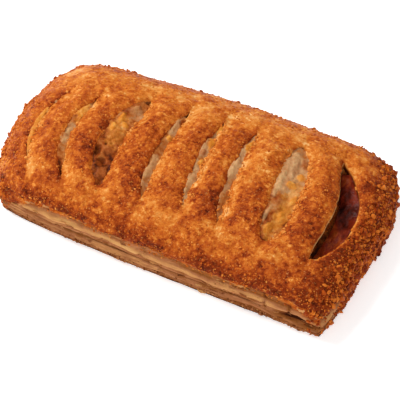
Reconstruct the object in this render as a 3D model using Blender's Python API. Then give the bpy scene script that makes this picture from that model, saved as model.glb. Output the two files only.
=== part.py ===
"""Savoury strudel: two sheets of puff pastry baked round a creamy ham and cheese filling.

The strudel lies flat, its length along X and its open layered sides facing -Y and +Y.
Four solids make it up: the flat bottom sheet, the domed top sheet with its eight slits,
the filling that runs through between them, and the ham that lies in the widest slit.

Every sheet is a grid over the unit square (u along X, v along Y). Each vertex keeps its
own u and v, and a third number, side, that runs from 0 on the outer face to 1 on the inner
one. Functions of these three numbers then give the place of every point.
"""

import math
import random
from dataclasses import dataclass

import bmesh
import bpy
import numpy as np

# Whole pastry
LENGTH = 0.165
WIDTH = 0.0844
HEIGHT = 0.0310
SEAM_HEIGHT = 0.0065
RIM_HEIGHT = 0.0165
GAP = 0.0003

# Outline of the sheets, seen from above
BOW_LEFT = 0.0099
BOW_RIGHT = 0.0092
BOW_FRONT = 0.0014
BOW_BACK = 0.0025
TAPER = 0.037
CORNER_PULL = {(-1, -1): 0.0016, (-1, 1): 0.0002, (1, 1): 0.0020, (1, -1): -0.0004}
CORNER_POWER = 8
# Shallow dents of the outline: depth, place along that side from -1 to 1, and width
END_DENTS = ((0.0045, -0.26, 0.56),)
BACK_DENTS = ((0.0016, -0.60, 0.25), (0.0009, 0.72, 0.24))
LEFT_BULGE = 0.0008
DENT_POWER = 6

# Dome of the top sheet
SHOULDER_ALONG = 4.5
SHOULDER_ACROSS = 2.4
SHOULDER_ROUND = 0.6
CRUST_THICKNESS = 0.0036
WALL_INSET = 0.0062
WALL_POWER = 8
FURROW_LEFT = 0.0010
FURROW_RIGHT = 0.0026
FURROW_BLEND = 0.0015
FURROW_REACH = 0.0045
FURROW_FADE = (1.35, 0.45)
WAVE = 0.0005
WAVE_FINE_SHARE = 0.6

# Layered sides
RIM_DROP = 0.0050
RIM_DROP_WIDTH = 0.12
RIM_WAVE = 0.0006
LID_LAYERS = (0.0, 0.0007, -0.0004, 0.0009, -0.0004, 0.0008, -0.0003, 0.0004, -0.0002)
BASE_LAYERS = (0.0, 0.0007, -0.0004, 0.0006, -0.0007, -0.0002, -0.0014)
END_LAYER_SHARE = 0.4
ON_EDGE = 0.9999

# Filling and ham
FILLING_REACH = 0.86
FILLING_ROUND = 0.10
FILLING_CLEARANCE = 0.0008
FILLING_RISE = 0.0028
FILLING_RISE_WIDTH = 0.0020
SLIT_CLEARANCE = 0.0004
HOLLOW_DEPTH = 0.0075
HOLLOW_PLACES = (-0.35, 0.0, 0.25, 1.0, 1.4)
HOLLOW_SHARES = (0.0, 1.0, 0.85, 0.07, 0.0)
HAM_THICKNESS = 0.0015
HAM_FROM, HAM_TO = 0.20, 0.93
HAM_LENGTH_SHARE = 0.86
HAM_WAVE = 0.0006

# Mesh fineness
STRIP_DIVISIONS = 4
END_CROWDING = 1.5
LID_ROWS = 26
BASE_CELLS = (26, 14)
FILLING_ROWS = 16
HAM_CELLS = (5, 14)

# Crumbs fused to the top sheet: how many, their radii, and the u and v ranges of the three
# zones that they lie in, each with the share of the crumbs that lies there or in one before it
CRUMBS = 95
CRUMB_RADII = (0.0007, 0.0015)
CRUMB_SEED = 7
CRUMB_ZONES = (
    (0.6, (0.90, 1.0), (-0.95, 0.95)),
    (0.8, (-1.0, -0.9), (-0.9, 0.9)),
    (1.0, (-0.9, 0.9), (0.86, 0.97)),
)

# Colours (linear red, green and blue) and roughness of the pieces
FINISHES = {
    "pastry_base": ((0.55, 0.30, 0.11), 0.7),
    "pastry_lid": ((0.62, 0.22, 0.05), 0.6),
    "filling": ((0.62, 0.52, 0.30), 0.35),
    "ham_slice": ((0.30, 0.03, 0.02), 0.3),
}


@dataclass(frozen=True)
class Slit:
    """A cut through the top sheet, before the outline is bowed: three X places and two Y ends."""

    x_front: float
    x_middle: float
    x_back: float
    y_front: float
    y_back: float
    width: float
    rise: float = FILLING_RISE
    roundness: float = 2.4
    sharpness: float = 0.75

    def along(self, y):
        """How far y is along the slit: -1 at its front end, 1 at its back end."""
        return (2 * y - self.y_front - self.y_back) / (self.y_back - self.y_front)

    def centre(self, y):
        """X of the slit's middle line at y."""
        s = np.clip(self.along(y), -1.0, 1.0)
        lean = (self.x_back - self.x_front) / 2
        curve = (self.x_back + self.x_front) / 2 - self.x_middle
        return self.x_middle + lean * s + curve * s * s

    def half_width(self, y):
        """Half the opening at y, nothing beyond the slit's ends."""
        s = np.clip(np.abs(self.along(y)), 0.0, 1.0)
        return self.width / 2 * (1 - s**self.roundness) ** self.sharpness

    def fade(self, y):
        """1 along the slit, falling to 0 a little way past its ends."""
        reach, length = FURROW_FADE
        return np.clip((reach - np.abs(self.along(y))) / length, 0.0, 1.0)


SLITS = (
    Slit(-0.0677, -0.0698, -0.0646, -0.0309, 0.0130, 0.0008, 0.0),
    Slit(-0.0508, -0.0550, -0.0510, -0.0306, 0.0125, 0.0030),
    Slit(-0.0338, -0.0360, -0.0314, -0.0286, 0.0209, 0.0096, roundness=3.2, sharpness=0.65),
    Slit(-0.0133, -0.0155, -0.0132, -0.0277, 0.0223, 0.0035),
    Slit(0.0044, 0.0020, 0.0029, -0.0240, 0.0233, 0.0029),
    Slit(0.0210, 0.0170, 0.0180, -0.0254, 0.0227, 0.0033),
    Slit(0.0423, 0.0404, 0.0386, -0.0255, 0.0248, 0.0108, roundness=4.0, sharpness=0.6),
    Slit(0.0636, 0.0664, 0.0576, -0.0256, 0.0252, 0.0105, 0.0),
)
OPEN_SLIT = SLITS[-1]


def bell(values, middle, width):
    """A smooth hump of height 1 at the middle."""
    return np.exp(-(((values - middle) / width) ** 2))


def outline(u, v, grow=0.0):
    """Plan position of (u, v) on a sheet whose edge is moved out by grow."""
    bow = np.where(u < 0, BOW_LEFT, BOW_RIGHT)
    side_bow = np.where(v < 0, BOW_FRONT, BOW_BACK)
    x = u * (LENGTH / 2 + grow - bow * v * v)
    y = v * (WIDTH / 2 * (1 + TAPER * u) + grow - side_bow * u * u)
    pull = np.zeros_like(x)
    for (side_x, side_y), amount in CORNER_PULL.items():
        here = (np.sign(u) == side_x) & (np.sign(v) == side_y)
        pull = np.where(here, amount * np.abs(u * v) ** CORNER_POWER, pull)
    near_right, near_left, near_back = (np.maximum(w, 0.0) ** DENT_POWER for w in (u, -u, v))
    x -= sum(depth * bell(v, place, width) for depth, place, width in END_DENTS) * near_right
    y -= sum(depth * bell(u, place, width) for depth, place, width in BACK_DENTS) * near_back
    x -= LEFT_BULGE * near_left
    return x - np.sign(u) * pull, y - np.sign(v) * pull


def rim_height(u):
    """Height of the crust's lower edge, which drops towards the corners at both ends."""
    left, right = bell(u, -1, RIM_DROP_WIDTH), bell(u, 1, RIM_DROP_WIDTH)
    return RIM_HEIGHT - RIM_DROP * (left + right / 2) + RIM_WAVE * np.sin(9 * u + 1.0)


def wave(u, v):
    """Slow unevenness of the baked crust."""
    broad = np.sin(5.1 * u + 1.3 * v + 0.4) * np.cos(3.7 * v - 2.2 * u)
    fine = np.sin(13.0 * u - 7.0 * v) * np.cos(11.0 * v + 6.0 * u + 1.0)
    return WAVE * (broad + WAVE_FINE_SHARE * fine)


def furrows(u, v):
    """How far the crust sinks towards the slits, and more on their right side than their left."""
    x, y = u * LENGTH / 2, v * WIDTH / 2
    sink = np.zeros_like(x)
    for slit in SLITS:
        aside = x - slit.centre(y)
        away = np.maximum(np.abs(aside) - slit.half_width(y), 0.0)
        here = bell(away, 0, FURROW_REACH) * slit.fade(y)
        right = (1 + np.tanh(aside / FURROW_BLEND)) / 2
        sink = np.maximum(sink, (FURROW_LEFT + (FURROW_RIGHT - FURROW_LEFT) * right) * here)
    return sink


def crust_height(u, v):
    """Height of the top sheet's outer face."""
    across = np.clip(1 - np.abs(v) ** SHOULDER_ACROSS, 0.0, 1.0) ** SHOULDER_ROUND
    along = np.clip(1 - np.abs(u) ** SHOULDER_ALONG, 0.0, 1.0) ** SHOULDER_ROUND
    rise = across * along
    return rim_height(u) + (HEIGHT - rim_height(u)) * rise + (wave(u, v) - furrows(u, v)) * np.sqrt(rise)


def inner_height(u, v):
    """Height of the top sheet's inner face: it thickens from the crown down to the seam."""
    floor = SEAM_HEIGHT + GAP
    share = (crust_height(u, v) - rim_height(u)) / (HEIGHT - rim_height(u))
    return floor + share * (HEIGHT - CRUST_THICKNESS - floor)


def inner_outline(u, v):
    """Plan position on the top sheet's inner face, drawn in only near the edge."""
    x, y = outline(u, v)
    inset_x, inset_y = (WALL_INSET * np.abs(w) ** WALL_POWER for w in (u, v))
    return x - np.sign(u) * inset_x, y - np.sign(v) * inset_y


def layer_step(side, steps, u, v):
    """Outward reach of the puff layers at a share side of the way down a layered edge."""
    at = np.interp(side, np.linspace(0.0, 1.0, len(steps)), steps)
    open_side = np.where(np.abs(v) > np.abs(u), 1.0, END_LAYER_SHARE)
    uneven = 0.75 + 0.25 * np.sin(23.0 * u + 9.0 * side) * np.cos(17.0 * v + 5.0 * side)
    return at * open_side * uneven


def slit_bounds(index, y):
    """X of the left and right lips of a slit at y."""
    slit = SLITS[index]
    return slit.centre(y) - slit.half_width(y), slit.centre(y) + slit.half_width(y)


def strip_place(strip, share, y, slits=range(len(SLITS)), reach=1.0, clearance=0.0):
    """X at a share of the way over a strip, from the lip on its left to the lip on its right."""
    left, right = -LENGTH / 2 * reach, LENGTH / 2 * reach
    if strip > 0:
        left = slit_bounds(slits[strip - 1], y)[1] - clearance
    if strip < len(slits):
        right = slit_bounds(slits[strip], y)[0] + clearance
    if strip == 0:
        share = share**END_CROWDING
    if strip == len(slits):
        share = 1 - (1 - share) ** END_CROWDING
    return left + (right - left) * share


def new_grid(columns, rows):
    """A grid bmesh of the given cell counts, with layers for u, v and side."""
    bm = bmesh.new()
    bmesh.ops.create_grid(bm, x_segments=columns, y_segments=rows, size=1.0)
    for name in ("u", "v", "side"):
        bm.verts.layers.float.new(name)
    return bm


def layer_values(bm, name):
    """One of the grid's layers as an array, in vertex order."""
    layer = bm.verts.layers.float[name]
    return np.array([vert[layer] for vert in bm.verts], dtype=float)


def place_vertices(bm, positions):
    """Moves every vertex to its own row of positions."""
    for vert, position in zip(bm.verts, positions):
        vert.co = position


def thicken(bm, edge_cuts=0):
    """Closes a grid into a solid: a second face below it, and edge walls cut into rings."""
    side = bm.verts.layers.float["side"]
    u, v = bm.verts.layers.float["u"], bm.verts.layers.float["v"]
    made = bmesh.ops.extrude_face_region(bm, geom=bm.faces[:])
    for item in made["geom"]:
        if isinstance(item, bmesh.types.BMVert):
            item[side] = 1.0
    if edge_cuts:
        walls = [
            edge
            for edge in bm.edges
            if edge.verts[0][side] != edge.verts[1][side]
            and max(abs(edge.verts[0][u]), abs(edge.verts[0][v])) > ON_EDGE
        ]
        bmesh.ops.subdivide_edges(bm, edges=walls, cuts=edge_cuts, use_grid_fill=True)


def to_object(bm, name):
    """Turns a bmesh into a named object with its own material."""
    color, roughness = FINISHES[name]
    bmesh.ops.recalc_face_normals(bm, faces=bm.faces[:])
    mesh = bpy.data.meshes.new(name)
    bm.to_mesh(mesh)
    bm.free()
    for layer in ("u", "v", "side"):
        mesh.attributes.remove(mesh.attributes[layer])
    material = bpy.data.materials.new(name)
    material.use_nodes = True
    shader = material.node_tree.nodes["Principled BSDF"]
    shader.inputs["Base Color"].default_value = (*color, 1.0)
    shader.inputs["Roughness"].default_value = roughness
    shader.inputs["Metallic"].default_value = 0.0
    mesh.materials.append(material)
    obj = bpy.data.objects.new(name, mesh)
    bpy.context.scene.collection.objects.link(obj)
    return obj


def eased_rows(place):
    """Row place -1..1 turned into v, with the rows closer together near the edges."""
    return math.sin(place * math.pi / 2)


def build_base():
    """The bottom sheet: a flat slab with a layered edge that tucks in underneath."""
    bm = new_grid(*BASE_CELLS)
    u, v = bm.verts.layers.float["u"], bm.verts.layers.float["v"]
    for vert in bm.verts:
        vert[u] = vert.co.x
        vert[v] = vert.co.y
    thicken(bm, edge_cuts=len(BASE_LAYERS) - 2)
    u, v, side = (layer_values(bm, name) for name in ("u", "v", "side"))
    x, y = outline(u, v, layer_step(side, BASE_LAYERS, u, v))
    place_vertices(bm, np.column_stack([x, y, SEAM_HEIGHT * (1 - side)]))
    return to_object(bm, "pastry_base")


def lid_grid():
    """The top sheet's grid, open at its slits, with u and v stored on every vertex."""
    per_strip = STRIP_DIVISIONS + 1
    columns = per_strip * (len(SLITS) + 1) - 1
    bm = new_grid(columns, LID_ROWS)
    u, v = bm.verts.layers.float["u"], bm.verts.layers.float["v"]
    slit_faces = []
    for face in bm.faces:
        cell = int((face.calc_center_median().x + 1) / 2 * columns)
        if cell % per_strip == STRIP_DIVISIONS:
            slit_faces.append(face)
    for vert in bm.verts:
        column = round((vert.co.x + 1) / 2 * columns)
        strip, step = divmod(column, per_strip)
        vert[v] = eased_rows(vert.co.y)
        y = vert[v] * WIDTH / 2
        vert[u] = strip_place(strip, step / STRIP_DIVISIONS, y) / (LENGTH / 2)
        vert.co = (vert[u], vert[v], 0.0)
    bmesh.ops.delete(bm, geom=slit_faces, context="FACES")
    bmesh.ops.remove_doubles(bm, verts=bm.verts[:], dist=1e-6)
    return bm


def lid_positions(u, v, side):
    """Places on the top sheet: crust, layered edge down to the seam, underside and inner face."""
    crust = np.column_stack([*outline(u, v), crust_height(u, v)])
    inner = np.column_stack([*inner_outline(u, v), inner_height(u, v)])
    layers = len(LID_LAYERS) - 1
    down = np.clip(side * (layers + 2) / layers, 0.0, 1.0)
    under = np.clip(side * (layers + 2) - layers, 0.0, 2.0) / 2
    floor = SEAM_HEIGHT + GAP
    x, y = outline(u, v, layer_step(down, LID_LAYERS, u, v))
    wall = np.column_stack([x, y, crust[:, 2] + (floor - crust[:, 2]) * down])
    wall += (inner - wall) * under[:, None]
    on_edge = np.maximum(np.abs(u), np.abs(v)) > ON_EDGE
    places = np.where((side < 0.5)[:, None], crust, inner)
    return np.where(on_edge[:, None], wall, places)


def build_lid():
    """The top sheet with its slits, its strips standing proud and its layered edge."""
    bm = lid_grid()
    thicken(bm, edge_cuts=len(LID_LAYERS))
    u, v, side = (layer_values(bm, name) for name in ("u", "v", "side"))
    place_vertices(bm, lid_positions(u, v, side))
    return to_object(bm, "pastry_lid")


def in_open_slit(u, v):
    """Share of the way over the open slit, from its left lip to its right, and its depth factor."""
    x, y = u * LENGTH / 2, v * WIDTH / 2
    left, right = slit_bounds(len(SLITS) - 1, y)
    over = (x - left) / np.maximum(right - left, 1e-6)
    depth = np.clip((right - left) / OPEN_SLIT.width, 0.0, 1.0)
    return over, depth


def hollow(u, v):
    """How far the filling sinks below the top sheet's inner face in the open slit."""
    over, depth = in_open_slit(u, v)
    return HOLLOW_DEPTH * np.interp(over, HOLLOW_PLACES, HOLLOW_SHARES) * depth


def build_filling():
    """The filling: it follows the top sheet's inner face and swells up into the slits."""
    slits = range(1, len(SLITS))
    strips, inside = 2, {len(SLITS) - 1: 5}
    columns = []
    for strip in range(len(slits) + 1):
        columns += [("strip", strip, step / strips) for step in range(strips + 1)]
        if strip < len(slits):
            cells = inside.get(slits[strip], 2)
            columns += [("slit", slits[strip], step / cells) for step in range(1, cells)]
    bm = new_grid(len(columns) - 1, FILLING_ROWS)
    u, v = bm.verts.layers.float["u"], bm.verts.layers.float["v"]
    rise = bm.verts.layers.float.new("rise")
    for vert in bm.verts:
        kind, index, share = columns[round((vert.co.x + 1) / 2 * (len(columns) - 1))]
        reach = FILLING_REACH - FILLING_ROUND * abs(vert.co.x * vert.co.y) ** 4
        vert[v] = vert.co.y * reach
        y = vert[v] * WIDTH / 2
        if kind == "strip":
            vert[u] = strip_place(index, share, y, slits, reach, SLIT_CLEARANCE) / (LENGTH / 2)
        else:
            left, right = slit_bounds(index, y)
            left, right = left + SLIT_CLEARANCE, right - SLIT_CLEARANCE
            vert[u] = (left + (right - left) * share) / (LENGTH / 2)
            opening = min(1.0, max(right - left, 0.0) / FILLING_RISE_WIDTH)
            vert[rise] = SLITS[index].rise * opening
        vert.co = (vert[u], vert[v], 0.0)
    bmesh.ops.remove_doubles(bm, verts=bm.verts[:], dist=1e-6)
    thicken(bm)
    u, v, side, rise = (layer_values(bm, name) for name in ("u", "v", "side", "rise"))
    top = inner_height(u, v) - FILLING_CLEARANCE + rise - hollow(u, v)
    z = np.where(side < 0.5, top, SEAM_HEIGHT + GAP)
    place_vertices(bm, np.column_stack([*inner_outline(u, v), z]))
    bm.verts.layers.float.remove(bm.verts.layers.float["rise"])
    return to_object(bm, "filling")


def build_ham():
    """The slice of ham in the open slit: a thin wavy sheet on the filling's slope."""
    bm = new_grid(*HAM_CELLS)
    u, v = bm.verts.layers.float["u"], bm.verts.layers.float["v"]
    middle = (OPEN_SLIT.y_front + OPEN_SLIT.y_back) / 2
    half = HAM_LENGTH_SHARE * (OPEN_SLIT.y_back - OPEN_SLIT.y_front) / 2
    for vert in bm.verts:
        y = middle + half * vert.co.y
        left, right = slit_bounds(len(SLITS) - 1, y)
        over = HAM_FROM + (HAM_TO - HAM_FROM) * (vert.co.x + 1) / 2
        vert[v] = y / (WIDTH / 2)
        vert[u] = (left + (right - left) * over) / (LENGTH / 2)
    thicken(bm)
    u, v, side = (layer_values(bm, name) for name in ("u", "v", "side"))
    ripple = HAM_WAVE * (1 + np.sin(9.0 * v + 60.0 * u))
    bottom = inner_height(u, v) - hollow(u, v) + ripple
    z = bottom + np.where(side < 0.5, HAM_THICKNESS, 0.0)
    place_vertices(bm, np.column_stack([*inner_outline(u, v), z]))
    return to_object(bm, "ham_slice")


def crumb_places():
    """Centres of the larger crumbs, thickest on the right end and along the crust's edge."""
    draw = random.Random(CRUMB_SEED)
    places = []
    while len(places) < CRUMBS:
        pick = draw.random()
        _, u_range, v_range = next(zone for zone in CRUMB_ZONES if pick < zone[0])
        u, v = draw.uniform(*u_range), draw.choice((-1, 1)) * draw.uniform(*v_range)
        places.append((u, v, draw.uniform(*CRUMB_RADII), draw.uniform(0.0, math.tau)))
    return places


def fuse_crumbs(lid):
    """Joins the crumbs to the top sheet with one Boolean union on their collection."""
    crumbs = bpy.data.collections.new("crumbs")
    for u, v, radius, turn in crumb_places():
        bm = bmesh.new()
        bmesh.ops.create_icosphere(bm, subdivisions=1, radius=radius)
        mesh = bpy.data.meshes.new("crumb")
        bm.to_mesh(mesh)
        bm.free()
        crumb = bpy.data.objects.new("crumb", mesh)
        place = lid_positions(np.array([u]), np.array([v]), np.array([0.0]))[0]
        crumb.location = place
        crumb.rotation_euler = (turn, turn * 0.7, turn * 1.3)
        crumbs.objects.link(crumb)
    bpy.context.scene.collection.children.link(crumbs)
    union = lid.modifiers.new("crumbs", "BOOLEAN")
    union.operation = "UNION"
    union.operand_type = "COLLECTION"
    union.collection = crumbs
    union.solver = "EXACT"
    bpy.context.view_layer.objects.active = lid
    bpy.ops.object.modifier_apply(modifier=union.name)
    for crumb in list(crumbs.objects):
        bpy.data.objects.remove(crumb)
    bpy.data.collections.remove(crumbs)


def centre_on_origin(objects):
    """Moves the pieces so that the origin is under the middle of the whole, on its underside."""
    points = np.array([tuple(vert.co) for obj in objects for vert in obj.data.vertices])
    low, high = points.min(axis=0), points.max(axis=0)
    for obj in objects:
        obj.location = (-(low[0] + high[0]) / 2, -(low[1] + high[1]) / 2, -low[2])


def main():
    """Builds the four solids and sets them on the origin."""
    for obj in list(bpy.data.objects):
        bpy.data.objects.remove(obj)
    lid = build_lid()
    fuse_crumbs(lid)
    centre_on_origin([build_base(), lid, build_filling(), build_ham()])


main()
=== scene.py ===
"""Looks of the savoury strudel: baked crust, puff layers, creamy filling, ham and crumbs.

Every sheet starts as a bmesh grid, u along X and v along Y, both from -1 to 1. The shape class
turns u and v into places, with the same driving sizes as the solids, and each sub-assembly then
adds its own fine relief.
"""

import logging
import math
from dataclasses import dataclass, field, fields
from enum import Enum
from typing import Callable, Sequence

import bmesh
import bpy
import numpy as np
from mathutils import Matrix, Vector


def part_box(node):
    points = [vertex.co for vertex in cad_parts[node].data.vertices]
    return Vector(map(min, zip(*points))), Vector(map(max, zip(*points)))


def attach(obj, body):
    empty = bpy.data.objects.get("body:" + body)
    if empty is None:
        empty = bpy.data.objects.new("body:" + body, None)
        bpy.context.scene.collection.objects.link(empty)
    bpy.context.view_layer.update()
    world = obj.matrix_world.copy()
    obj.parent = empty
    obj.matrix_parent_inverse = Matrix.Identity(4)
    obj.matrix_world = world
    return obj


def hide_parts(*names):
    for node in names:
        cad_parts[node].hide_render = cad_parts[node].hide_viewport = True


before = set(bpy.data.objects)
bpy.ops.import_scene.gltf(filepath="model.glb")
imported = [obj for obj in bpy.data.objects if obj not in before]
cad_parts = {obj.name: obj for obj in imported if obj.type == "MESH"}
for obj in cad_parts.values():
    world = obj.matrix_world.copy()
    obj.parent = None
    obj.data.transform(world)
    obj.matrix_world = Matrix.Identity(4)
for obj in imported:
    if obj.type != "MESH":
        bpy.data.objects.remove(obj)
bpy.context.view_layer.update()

LOG = logging.getLogger("strudel")
ON_EDGE = 0.9999
TINY = 1e-6
HASH_STEPS = (374761393, 668265263, 1440662683, 1274126177)
HASH_MIXERS = ((13, 1103515245), (15, 12820163))
HASH_MASK = 0x7FFFFFFF
HASH_RANGE = 0xFFFFF
Colour = tuple[float, float, float]
Stops = tuple[tuple[float, str], ...]
Pair = tuple[np.ndarray, np.ndarray]


class Slot(Enum):
    """Names of the record's material slots."""

    CRUST = "browned_crust"
    LAYERS = "layered_pastry"
    CREAM = "cream_filling"
    HAM = "cooked_ham"


class Stuff(Enum):
    """What shows in patches in the filling; the value names the attribute that says how much."""

    CHEESE = "cheese"
    MEAT = "meat"
    PALE = "pale"
    # Sunk dark patches: partly dark baked filling, partly painted shade.
    PIT = "pit_tone_and_shade"


class Scrap(Enum):
    """Small shapes that are scattered in their hundreds and thousands."""

    CRUMB = "knobbly grain"
    FLAKE = "thin curved leaf"


class Step(Enum):
    """One step of arithmetic in a material, by its node's own name."""

    SUBTRACT = "SUBTRACT"
    MULTIPLY = "MULTIPLY"
    MULTIPLY_ADD = "MULTIPLY_ADD"
    MINIMUM = "MINIMUM"
    MAXIMUM = "MAXIMUM"


class Blend(Enum):
    """How two colours are blended in a material, by the node's own name."""

    MIX = "MIX"
    MULTIPLY = "MULTIPLY"


# ---------------------------------------------------------------- number fields


def hashed(cells: np.ndarray, seed: int) -> np.ndarray:
    """Repeatable random number for every integer cell.

    Args:
        cells: Integer cell coordinates, with x, y and z on the last axis.
        seed: Picks one of many number sets.

    Returns:
        Numbers from 0 to 1, one for each cell.
    """
    parts = [cells[..., axis].astype(np.int64) for axis in range(3)]
    mixed = sum(part * step for part, step in zip([*parts, seed], HASH_STEPS)) & HASH_MASK
    for shift, factor in HASH_MIXERS:
        mixed = ((mixed ^ (mixed >> shift)) * factor) & HASH_MASK
    return ((mixed ^ (mixed >> 16)) & HASH_RANGE) / HASH_RANGE


def smooth_noise(points: np.ndarray, size: float, seed: int) -> np.ndarray:
    """Value noise: a smooth random field.

    Args:
        points: Places, one row each, in metres.
        size: Width of one bump, in metres.
        seed: Picks the field.

    Returns:
        Numbers from 0 to 1, one for each place.
    """
    scaled = points / size
    cell = np.floor(scaled)
    part = scaled - cell
    part = part * part * (3 - 2 * part)
    total = np.zeros(len(points))
    for corner in np.ndindex(2, 2, 2):
        offset = np.array(corner)
        weight = np.prod(np.where(offset, part, 1 - part), axis=1)
        total += weight * hashed(cell + offset, seed)
    return total


def fractal(points: np.ndarray, size: float, octaves: int, seed: int) -> np.ndarray:
    """Value noise in several sizes, each half as wide and half as strong as the last.

    Args:
        points: Places, one row each, in metres.
        size: Width of the widest bump, in metres.
        octaves: How many sizes are added up.
        seed: Picks the field.

    Returns:
        Numbers from 0 to 1, one for each place, about 0.5 on average.
    """
    total = np.zeros(len(points))
    weight, weights = 1.0, 0.0
    for octave in range(octaves):
        total += weight * smooth_noise(points, size * 0.5**octave, seed + 17 * octave)
        weights += weight
        weight *= 0.55
    return total / weights


def grains(points: np.ndarray, size: float, seed: int) -> Pair:
    """Packed round grains, from the distance to the nearest of many scattered seeds.

    Args:
        points: Places, one row each, in metres.
        size: Average width of one grain, in metres.
        seed: Picks the field.

    Returns:
        How high each place is on its grain, from 0 to 1, and a random tone of its grain.
    """
    scaled = points / size
    cell = np.floor(scaled)
    nearest = np.full(len(points), 9.0)
    tone = np.zeros(len(points))
    for corner in np.ndindex(3, 3, 3):
        there = cell + np.array(corner) - 1
        seeds = np.stack([hashed(there, seed + axis) for axis in range(3)], axis=1)
        gap = np.linalg.norm(there + seeds - scaled, axis=1)
        closer = gap < nearest
        nearest = np.where(closer, gap, nearest)
        tone = np.where(closer, hashed(there, seed + 5), tone)
    height = np.sqrt(np.clip(1 - (nearest / 0.85) ** 2, 0.0, 1.0))
    return height, tone


def smoothstep(low: float, high: float, values: np.ndarray) -> np.ndarray:
    """Rises smoothly from 0 at low to 1 at high.

    Args:
        low: Where the rise starts.
        high: Where it ends.
        values: What is looked up.

    Returns:
        The share risen, one for each value.
    """
    share = np.clip((values - low) / (high - low), 0.0, 1.0)
    return share * share * (3 - 2 * share)


def bell(values: np.ndarray, middle: float, width: float) -> np.ndarray:
    """A smooth hump of height 1 at the middle."""
    return np.exp(-(((values - middle) / width) ** 2))


# ---------------------------------------------------------------- the pastry's form


@dataclass(frozen=True)
class Slit:
    """A cut through the top sheet, before the outline is bowed: three X places and two Y ends.

    fill_depth is how far the filling lies under the crust there, and tones are how baked the
    filling is at the slit's front end, a quarter, the middle, three quarters and the back end.
    undercut and slope are how far the left wall runs out and the right wall runs in below the lips, bevel
    is the width of a pale torn edge on the left lip, crumbed is how thickly golden crumbs lie on the right
    lip, and wall_tone_and_shade is how much darker the cut walls grow below the lips, partly browner dough
    and partly painted shade.
    """

    x_front: float
    x_middle: float
    x_back: float
    y_front: float
    y_back: float
    width: float
    fill_depth: float
    tones: tuple[float, float, float, float, float]
    roundness: float = 2.4
    sharpness: float = 0.75
    undercut: float = 0.0002
    slope: float = 0.0012
    ragged: float = 0.0006
    bevel: float = 0.0
    wall_tone_and_shade: float = 0.35
    crumbed: float = 0.15

    def along(self, y: np.ndarray) -> np.ndarray:
        """How far y is along the slit: -1 at its front end, 1 at its back end."""
        return (2 * y - self.y_front - self.y_back) / (self.y_back - self.y_front)

    def centre(self, y: np.ndarray) -> np.ndarray:
        """X of the slit's middle line at y.

        Args:
            y: Places across the pastry.

        Returns:
            The X of each.
        """
        s = np.clip(self.along(y), -1.0, 1.0)
        lean = (self.x_back - self.x_front) / 2
        curve = (self.x_back + self.x_front) / 2 - self.x_middle
        return self.x_middle + lean * s + curve * s * s

    def half_width(self, y: np.ndarray) -> np.ndarray:
        """Half the opening at y, nothing beyond the slit's ends."""
        s = np.clip(np.abs(self.along(y)), 0.0, 1.0)
        return self.width / 2 * (1 - s**self.roundness) ** self.sharpness

    def fade(self, y: np.ndarray) -> np.ndarray:
        """1 along the slit, falling to 0 a little way past its ends."""
        return np.clip((1.35 - np.abs(self.along(y))) / 0.45, 0.0, 1.0)

    def lips(self, y: np.ndarray) -> Pair:
        """X of the left and right lips at y, torn a little unevenly.

        Args:
            y: Places across the pastry.

        Returns:
            The left and the right X of each.
        """
        half = self.half_width(y)
        torn = np.minimum(self.ragged, half * 0.5)
        rows = np.column_stack([np.full_like(y, self.x_middle), y, np.zeros_like(y)])
        left = 2 * fractal(rows, 0.0035, 3, 7) - 1
        right = 2 * fractal(rows, 0.0028, 3, 8) - 1
        return self.centre(y) - half + torn * left, self.centre(y) + half + torn * right

    def tone(self, y: np.ndarray) -> np.ndarray:
        """How baked the filling is at y."""
        return np.interp(self.along(y), (-1.0, -0.5, 0.0, 0.5, 1.0), self.tones)


SLITS = (
    Slit(-0.0677, -0.0698, -0.0646, -0.0309, 0.0130, 0.0008, 0.0002, (0.7, 0.6, 0.6, 0.65, 0.8)),
    Slit(-0.0508, -0.0550, -0.0510, -0.0306, 0.0125, 0.0030, 0.0008, (0.95, 0.7, 0.45, 0.6, 0.7)),
    Slit(
        -0.0338, -0.0360, -0.0314, -0.0286, 0.0209, 0.0096, 0.0010, (0.8, 0.88, 0.8, 0.68, 0.62),
        roundness=3.2, sharpness=0.65, undercut=-0.0024, slope=0.0016, ragged=0.0010,
    ),
    Slit(-0.0133, -0.0155, -0.0132, -0.0277, 0.0223, 0.0035, 0.0009, (0.62, 0.60, 0.56, 0.54, 0.8)),
    Slit(
        0.0044, 0.0020, 0.0029, -0.0240, 0.0233, 0.0029, 0.0009, (0.5, 0.38, 0.42, 0.3, 0.5),
        crumbed=1.0,
    ),
    Slit(
        0.0210, 0.0170, 0.0180, -0.0254, 0.0227, 0.0033, 0.0008, (0.56, 0.5, 0.46, 0.38, 0.5),
        crumbed=0.9,
    ),
    Slit(
        0.0423, 0.0404, 0.0386, -0.0255, 0.0248, 0.0108, 0.0009, (0.75, 0.65, 0.5, 0.42, 0.4),
        roundness=4.0, sharpness=0.6, undercut=-0.0010, slope=0.0014, ragged=0.0009, crumbed=0.5,
    ),
    Slit(
        0.0636, 0.0664, 0.0576, -0.0256, 0.0252, 0.0105, 0.0060, (1.0, 0.95, 0.85, 0.8, 0.7),
        roundness=2.7, sharpness=0.66, undercut=0.0022, slope=0.0001, ragged=0.0003, bevel=0.0005,
        wall_tone_and_shade=0.65, crumbed=0.03,
    ),
)


@dataclass(frozen=True)
class Spot:
    """A patch of one stuff: how far along (-1 to 1) and across (0 to 1) a slit, and half sizes."""

    stuff: Stuff
    slit: int
    along: float
    across: float
    size: tuple[float, float]
    lift: float = 0.0007
    share: float = 1.0


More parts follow.
